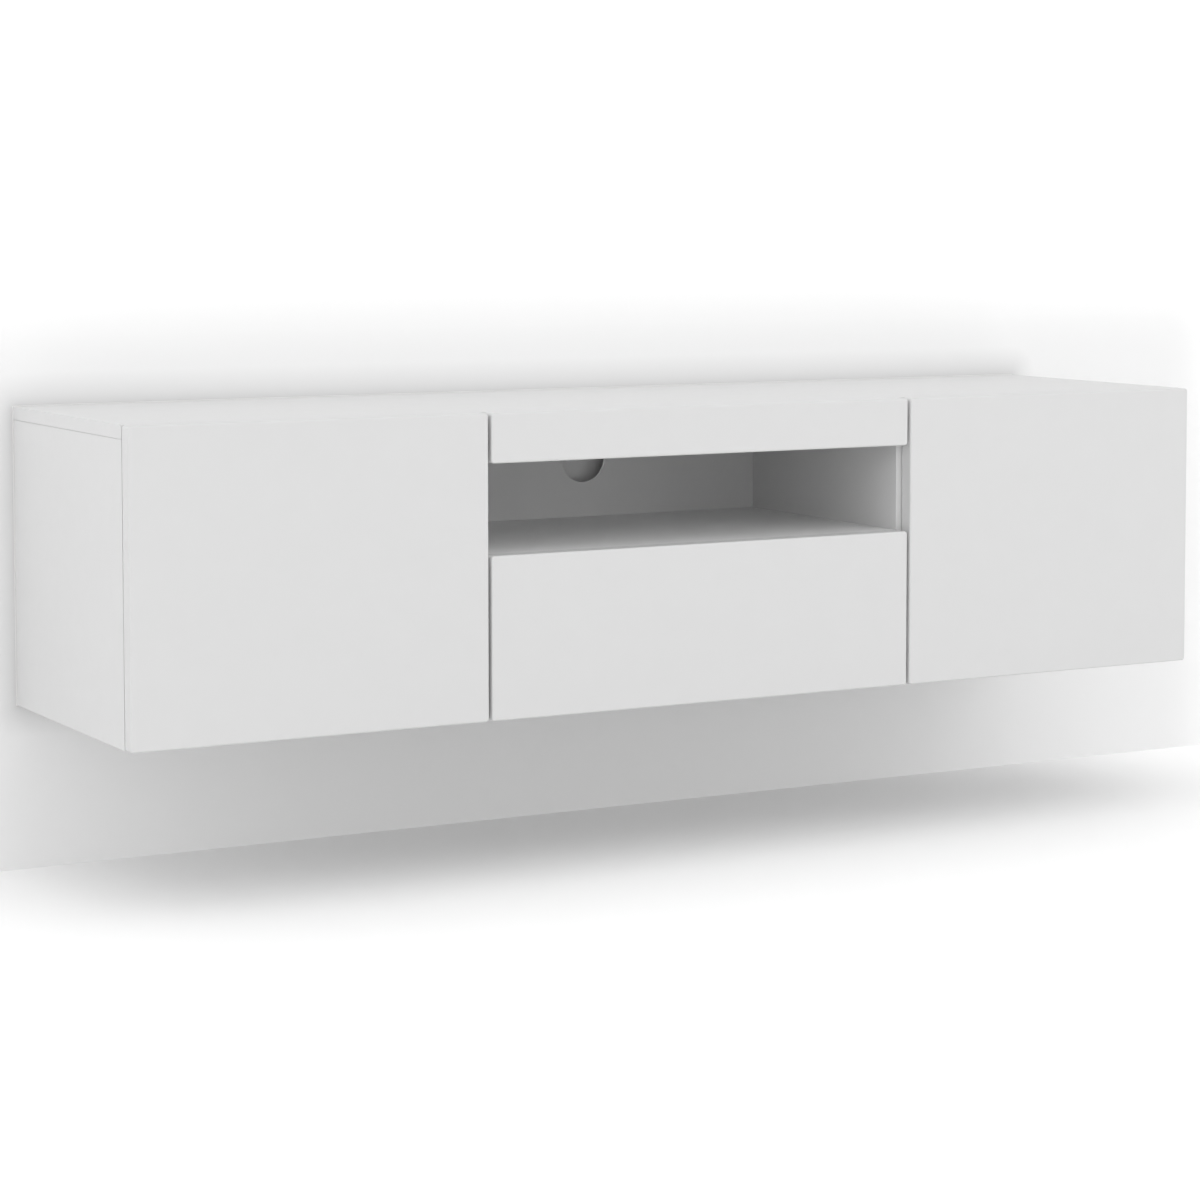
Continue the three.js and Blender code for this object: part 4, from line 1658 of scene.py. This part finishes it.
@dataclass(frozen=True)
class Studio:
    """A white wall and floor with a painted shadow along the console's outline, an even white surround and
    five large soft lamps.
    """

    wall_gap: float = 0.5 * MM
    floor_level: float = -565 * MM
    half_width: float = 9.0
    wall_height: float = 6.0
    floor_depth: float = 9.0
    paint: str = "#f9f9f9"
    # Painted shadow: the darker paint where the console meets the plane, and how far from its outline it
    # fades
    painted_shadow_colour: str = "#d6d6d6"
    painted_shadow_reach: float = 42 * MM
    white: str = "#ffffff"
    surround: float = 0.69
    backdrop: float = 1.0
    rear_light_gap: float = 60 * MM
    hidden_gap: float = 1 * MM
    deepest_passing: float = 1.5
    lift_per_metre: float = 0.08
    lamp_size: float = 2.4
    wall_fade: Fade = Fade((-0.75, -0.5, -1.0), (1.03, 0.5, 0.038), 0.14, 0.13)
    floor_fade: Fade = Fade((-0.55, -0.15, -1.0), (0.74, 0.5, 0.0), 0.3, 0.14)
    lamps: tuple[Lamp, ...] = (
        Lamp("key_lamp", 21, (2.4, -3.2, 0.9)),
        Lamp("fill_lamp", 11, (-1.6, -3.6, 0.9)),
        Lamp("high_lamp", 7, (0.2, -3.0, 2.8)),
        Lamp("side_lamp", 15.5, (-3.6, -1.4, 0.8)),
        Lamp("overhead_lamp", 11, (0, -1.2, 3.2)),
    )

    def distance(self, tree: Tree, place: Socket, low: Spot, high: Spot) -> Socket:
        """Measures how far a place lies outside a box.

        Args:
            tree: the node tree that takes the nodes.
            place: the place's output.
            low: the box's lowest corner.
            high: the box's highest corner.

        Returns:
            The output that holds the distance, nought inside the box.
        """
        first, last = Vector(low), Vector(high)
        steps = (
            ("SUBTRACT", (first + last) / 2),
            ("ABSOLUTE", None),
            ("SUBTRACT", (last - first) / 2),
            ("MAXIMUM", Vector()),
        )
        for operation, value in steps:
            values = {} if value is None else {1: value}
            place = add_node(
                tree, "ShaderNodeVectorMath", links={0: place}, values=values, operation=operation
            ).outputs["Vector"]
        return add_node(tree, "ShaderNodeVectorMath", links={0: place}, operation="LENGTH").outputs["Value"]

    def passing(self, tree: Tree, outside: Socket, path: bpy.types.bpy_prop_collection) -> Socket:
        """Says which rays pass a plane: the first short ones that start on the console's back.

        So the back, which all but touches the wall, is lit in views from behind.

        Args:
            tree: the node tree that takes the nodes.
            outside: how far the place lies from the console's box.
            path: the outputs of the Light Path node.

        Returns:
            The output that is 1 for a ray that passes and 0 for another.
        """
        depth = add_node(
            tree, "ShaderNodeMath", links={0: path["Ray Depth"], 1: path["Is Shadow Ray"]}, operation="ADD"
        )
        tests = [
            (path["Ray Length"], self.rear_light_gap),
            (outside, self.hidden_gap),
            (depth.outputs[0], self.deepest_passing),
        ]
        passed = None
        for source, limit in tests:
            small = add_node(
                tree, "ShaderNodeMath", links={0: source}, values={1: limit}, operation="LESS_THAN"
            ).outputs[0]
            if passed is not None:
                small = add_node(
                    tree, "ShaderNodeMath", links={0: passed, 1: small}, operation="MULTIPLY"
                ).outputs[0]
            passed = small
        return add_node(
            tree,
            "ShaderNodeMath",
            links={0: passed, 1: path["Is Camera Ray"]},
            operation="SUBTRACT",
            use_clamp=True,
        ).outputs[0]

    def dull_white(self, tree: Tree, outside: Socket) -> Socket:
        """Makes a dull white paint with a painted shadow: darker close to the console's outline.

        Args:
            tree: the node tree that takes the nodes.
            outside: how far the place lies from the console's box.

        Returns:
            The shader's output.
        """
        away = add_node(
            tree, "ShaderNodeMapRange", links={"Value": outside}, values={"From Max": self.painted_shadow_reach}
        )
        share = add_node(tree, "ShaderNodeMath", links={0: away.outputs["Result"]}, operation="SQRT")
        hidden = add_node(
            tree, "ShaderNodeMath", links={0: outside}, values={1: self.hidden_gap}, operation="LESS_THAN"
        )
        plain = add_node(
            tree, "ShaderNodeMath", links={0: share.outputs[0], 1: hidden.outputs[0]}, operation="MAXIMUM"
        )
        # Painted shadow: darker paint towards the console's outline, none within the console's own box
        paint = add_node(
            tree,
            "ShaderNodeMix",
            links={"Factor": plain.outputs[0]},
            values={6: linear(self.painted_shadow_colour), 7: linear(self.paint)},
            data_type="RGBA",
        )
        return add_node(tree, "ShaderNodeBsdfDiffuse", links={"Color": paint.outputs[2]}).outputs[0]

    def glow(self, tree: Tree, place: Socket, seen: Socket, fade: Fade) -> Socket:
        """Makes the light that turns a plane to pure white for the camera alone.

        Args:
            tree: the node tree that takes the nodes.
            place: the place's output.
            seen: the output that is 1 for a camera ray.
            fade: how the plane turns to white.

        Returns:
            The shader's output.
        """
        distance = self.distance(tree, place, fade.low, fade.high)
        near = add_node(
            tree,
            "ShaderNodeMapRange",
            links={"Value": distance},
            values={"From Max": fade.reach, "To Max": fade.lift},
            interpolation_type="SMOOTHSTEP",
        )
        lift = add_node(
            tree,
            "ShaderNodeMath",
            links={0: distance, 2: near.outputs["Result"]},
            values={1: self.lift_per_metre},
            operation="MULTIPLY_ADD",
        )
        strength = add_node(
            tree, "ShaderNodeMath", links={0: lift.outputs[0], 1: seen}, operation="MULTIPLY"
        )
        return add_node(
            tree,
            "ShaderNodeEmission",
            links={"Strength": strength.outputs[0]},
            values={"Color": linear(self.white)},
        ).outputs[0]

    def surface(self, name: str, fade: Fade) -> bpy.types.Material:
        """Makes the white of a studio plane, which shows from its front side alone.

        Args:
            name: the material's name.
            fade: how it turns to pure white for the camera.

        Returns:
            The material.
        """
        made = bpy.data.materials.new(name)
        made.use_nodes = True
        tree = made.node_tree
        tree.nodes.clear()
        place = add_node(tree, "ShaderNodeTexCoord").outputs["Object"]
        path = add_node(tree, "ShaderNodeLightPath").outputs
        outside = self.distance(tree, place, *CAD_BOX)
        # The dull white paint with its painted shadow near the console
        dull = self.dull_white(tree, outside)
        glow = self.glow(tree, place, path["Is Camera Ray"], fade)
        front = add_node(tree, "ShaderNodeAddShader", links={0: dull, 1: glow})
        clear = add_node(tree, "ShaderNodeBsdfTransparent")
        behind = add_node(tree, "ShaderNodeNewGeometry").outputs["Backfacing"]
        open_share = add_node(
            tree,
            "ShaderNodeMath",
            links={0: self.passing(tree, outside, path), 1: behind},
            operation="MAXIMUM",
        )
        sided = add_node(
            tree,
            "ShaderNodeMixShader",
            links={0: open_share.outputs[0], 1: front.outputs[0], 2: clear.outputs[0]},
        )
        add_node(tree, "ShaderNodeOutputMaterial", links={"Surface": sided.outputs[0]})
        return made

    def plane(self, name: str, low: Spot, high: Spot, turn: float, fade: Fade) -> None:
        """Adds one plane of the studio.

        Args:
            name: its name.
            low: its lowest corner.
            high: its highest corner.
            turn: how far it is tipped up from lying flat, in degrees.
            fade: how it turns to pure white for the camera.
        """
        deselect()
        first, last = Vector(low), Vector(high)
        size = last - first
        rise = size.z if turn else size.y
        bpy.ops.mesh.primitive_plane_add(
            size=1, location=(first + last) / 2, rotation=(math.radians(turn), 0, 0)
        )
        bpy.context.active_object.scale = (size.x, rise, 1)
        made = set_down(name)
        made.data.materials.append(self.surface(f"{name}_dull_white_paint", fade))
        made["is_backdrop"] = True

    def light(self, lamp: Lamp, aim: Vector) -> None:
        """Adds one lamp, which the camera doesn't see.

        Args:
            lamp: the lamp.
            aim: the point that it faces.
        """
        deselect()
        bpy.ops.object.light_add(type="AREA", location=lamp.place)
        made = bpy.context.active_object
        made.name = lamp.name
        made.data.energy = lamp.power
        made.data.size = self.lamp_size
        made.rotation_euler = (aim - Vector(lamp.place)).to_track_quat("-Z", "Y").to_euler()
        made.visible_camera = False
        made.visible_glossy = False

    def world(self) -> None:
        """Makes the even surround, which is white to the camera and in reflections."""
        world = bpy.data.worlds.new("even_white_surround")
        bpy.context.scene.world = world
        world.use_nodes = True
        tree = world.node_tree
        tree.nodes.clear()
        path = add_node(tree, "ShaderNodeLightPath").outputs
        seen = path["Is Camera Ray"]
        for other in ("Is Glossy Ray", "Is Transmission Ray"):
            seen = add_node(
                tree, "ShaderNodeMath", links={0: seen, 1: path[other]}, operation="MAXIMUM"
            ).outputs[0]
        level = add_node(
            tree,
            "ShaderNodeMapRange",
            links={"Value": seen},
            values={"To Min": self.surround, "To Max": self.backdrop},
        )
        shade = add_node(
            tree,
            "ShaderNodeBackground",
            links={"Strength": level.outputs["Result"]},
            values={"Color": linear(self.white)},
        )
        add_node(tree, "ShaderNodeOutputWorld", links={"Surface": shade.outputs[0]})

    def build(self) -> None:
        """Builds the wall, the floor, the surround and the lamps."""
        wide, deep = self.half_width, self.floor_depth
        floor, wall = self.floor_level, self.wall_gap
        self.plane("studio_floor", (-wide, -deep, floor), (wide, wall, floor), 0, self.floor_fade)
        self.plane("studio_wall", (-wide, wall, floor), (wide, wall, self.wall_height), 90, self.wall_fade)
        middle = sum(CAD_BOX, Vector()) / 2
        for lamp in self.lamps:
            self.light(lamp, middle)
        self.world()


@dataclass(frozen=True)
class PhotoCamera:
    """The camera at the photograph's place, with the frame's crop as a small lens shift."""

    place: tuple[float, float, float] = (-1.9794, -3.7424, 0.2525)
    yaw: float = 29.334
    pitch: float = 3.864
    lens: float = 95.03
    shift: tuple[float, float] = (-0.03, -0.15)

    def build(self) -> None:
        """Adds the camera and makes it the scene's."""
        deselect()
        turn = (math.radians(90 - self.pitch), 0, math.radians(-self.yaw))
        bpy.ops.object.camera_add(location=self.place, rotation=turn)
        made = bpy.context.active_object
        made.name = "photo_camera"
        made.data.lens = self.lens
        made.data.shift_x, made.data.shift_y = self.shift
        bpy.context.scene.camera = made


def corners(box: Sequence[Vector]) -> list[list[float]]:
    """Gives a box's two corners as plain lists."""
    return [list(corner) for corner in box]


def main() -> None:
    """Builds the studio and every piece, and measures the sizes."""
    logging.basicConfig(level=logging.INFO, format="%(relativeCreated)6d %(message)s")
    bpy.context.scene.view_settings.view_transform = "Standard"
    PhotoCamera().build()
    Studio().build()
    FrontPanel("fascia_strip", "carcass").build()
    FrontPanel("drawer_front", "drawer").build()
    for hand in Hand:
        side = hand.value
        cups = tuple(f"{side}_{level}_hinge_cup" for level in ("lower", "upper"))
        FrontPanel(f"{side}_door_panel", f"{side}_door", cups=cups).build()
    for maker in (Carcass, BackPanels, ShelfPins, CupHinge, PushLatch, WallFixing, Runners, DrawerBox):
        LOG.info("building %s", maker.__name__)
        maker().build()
    {"cad": corners(CAD_BOX), "visual": corners(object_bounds())}


if __name__ == "__main__":
    main()
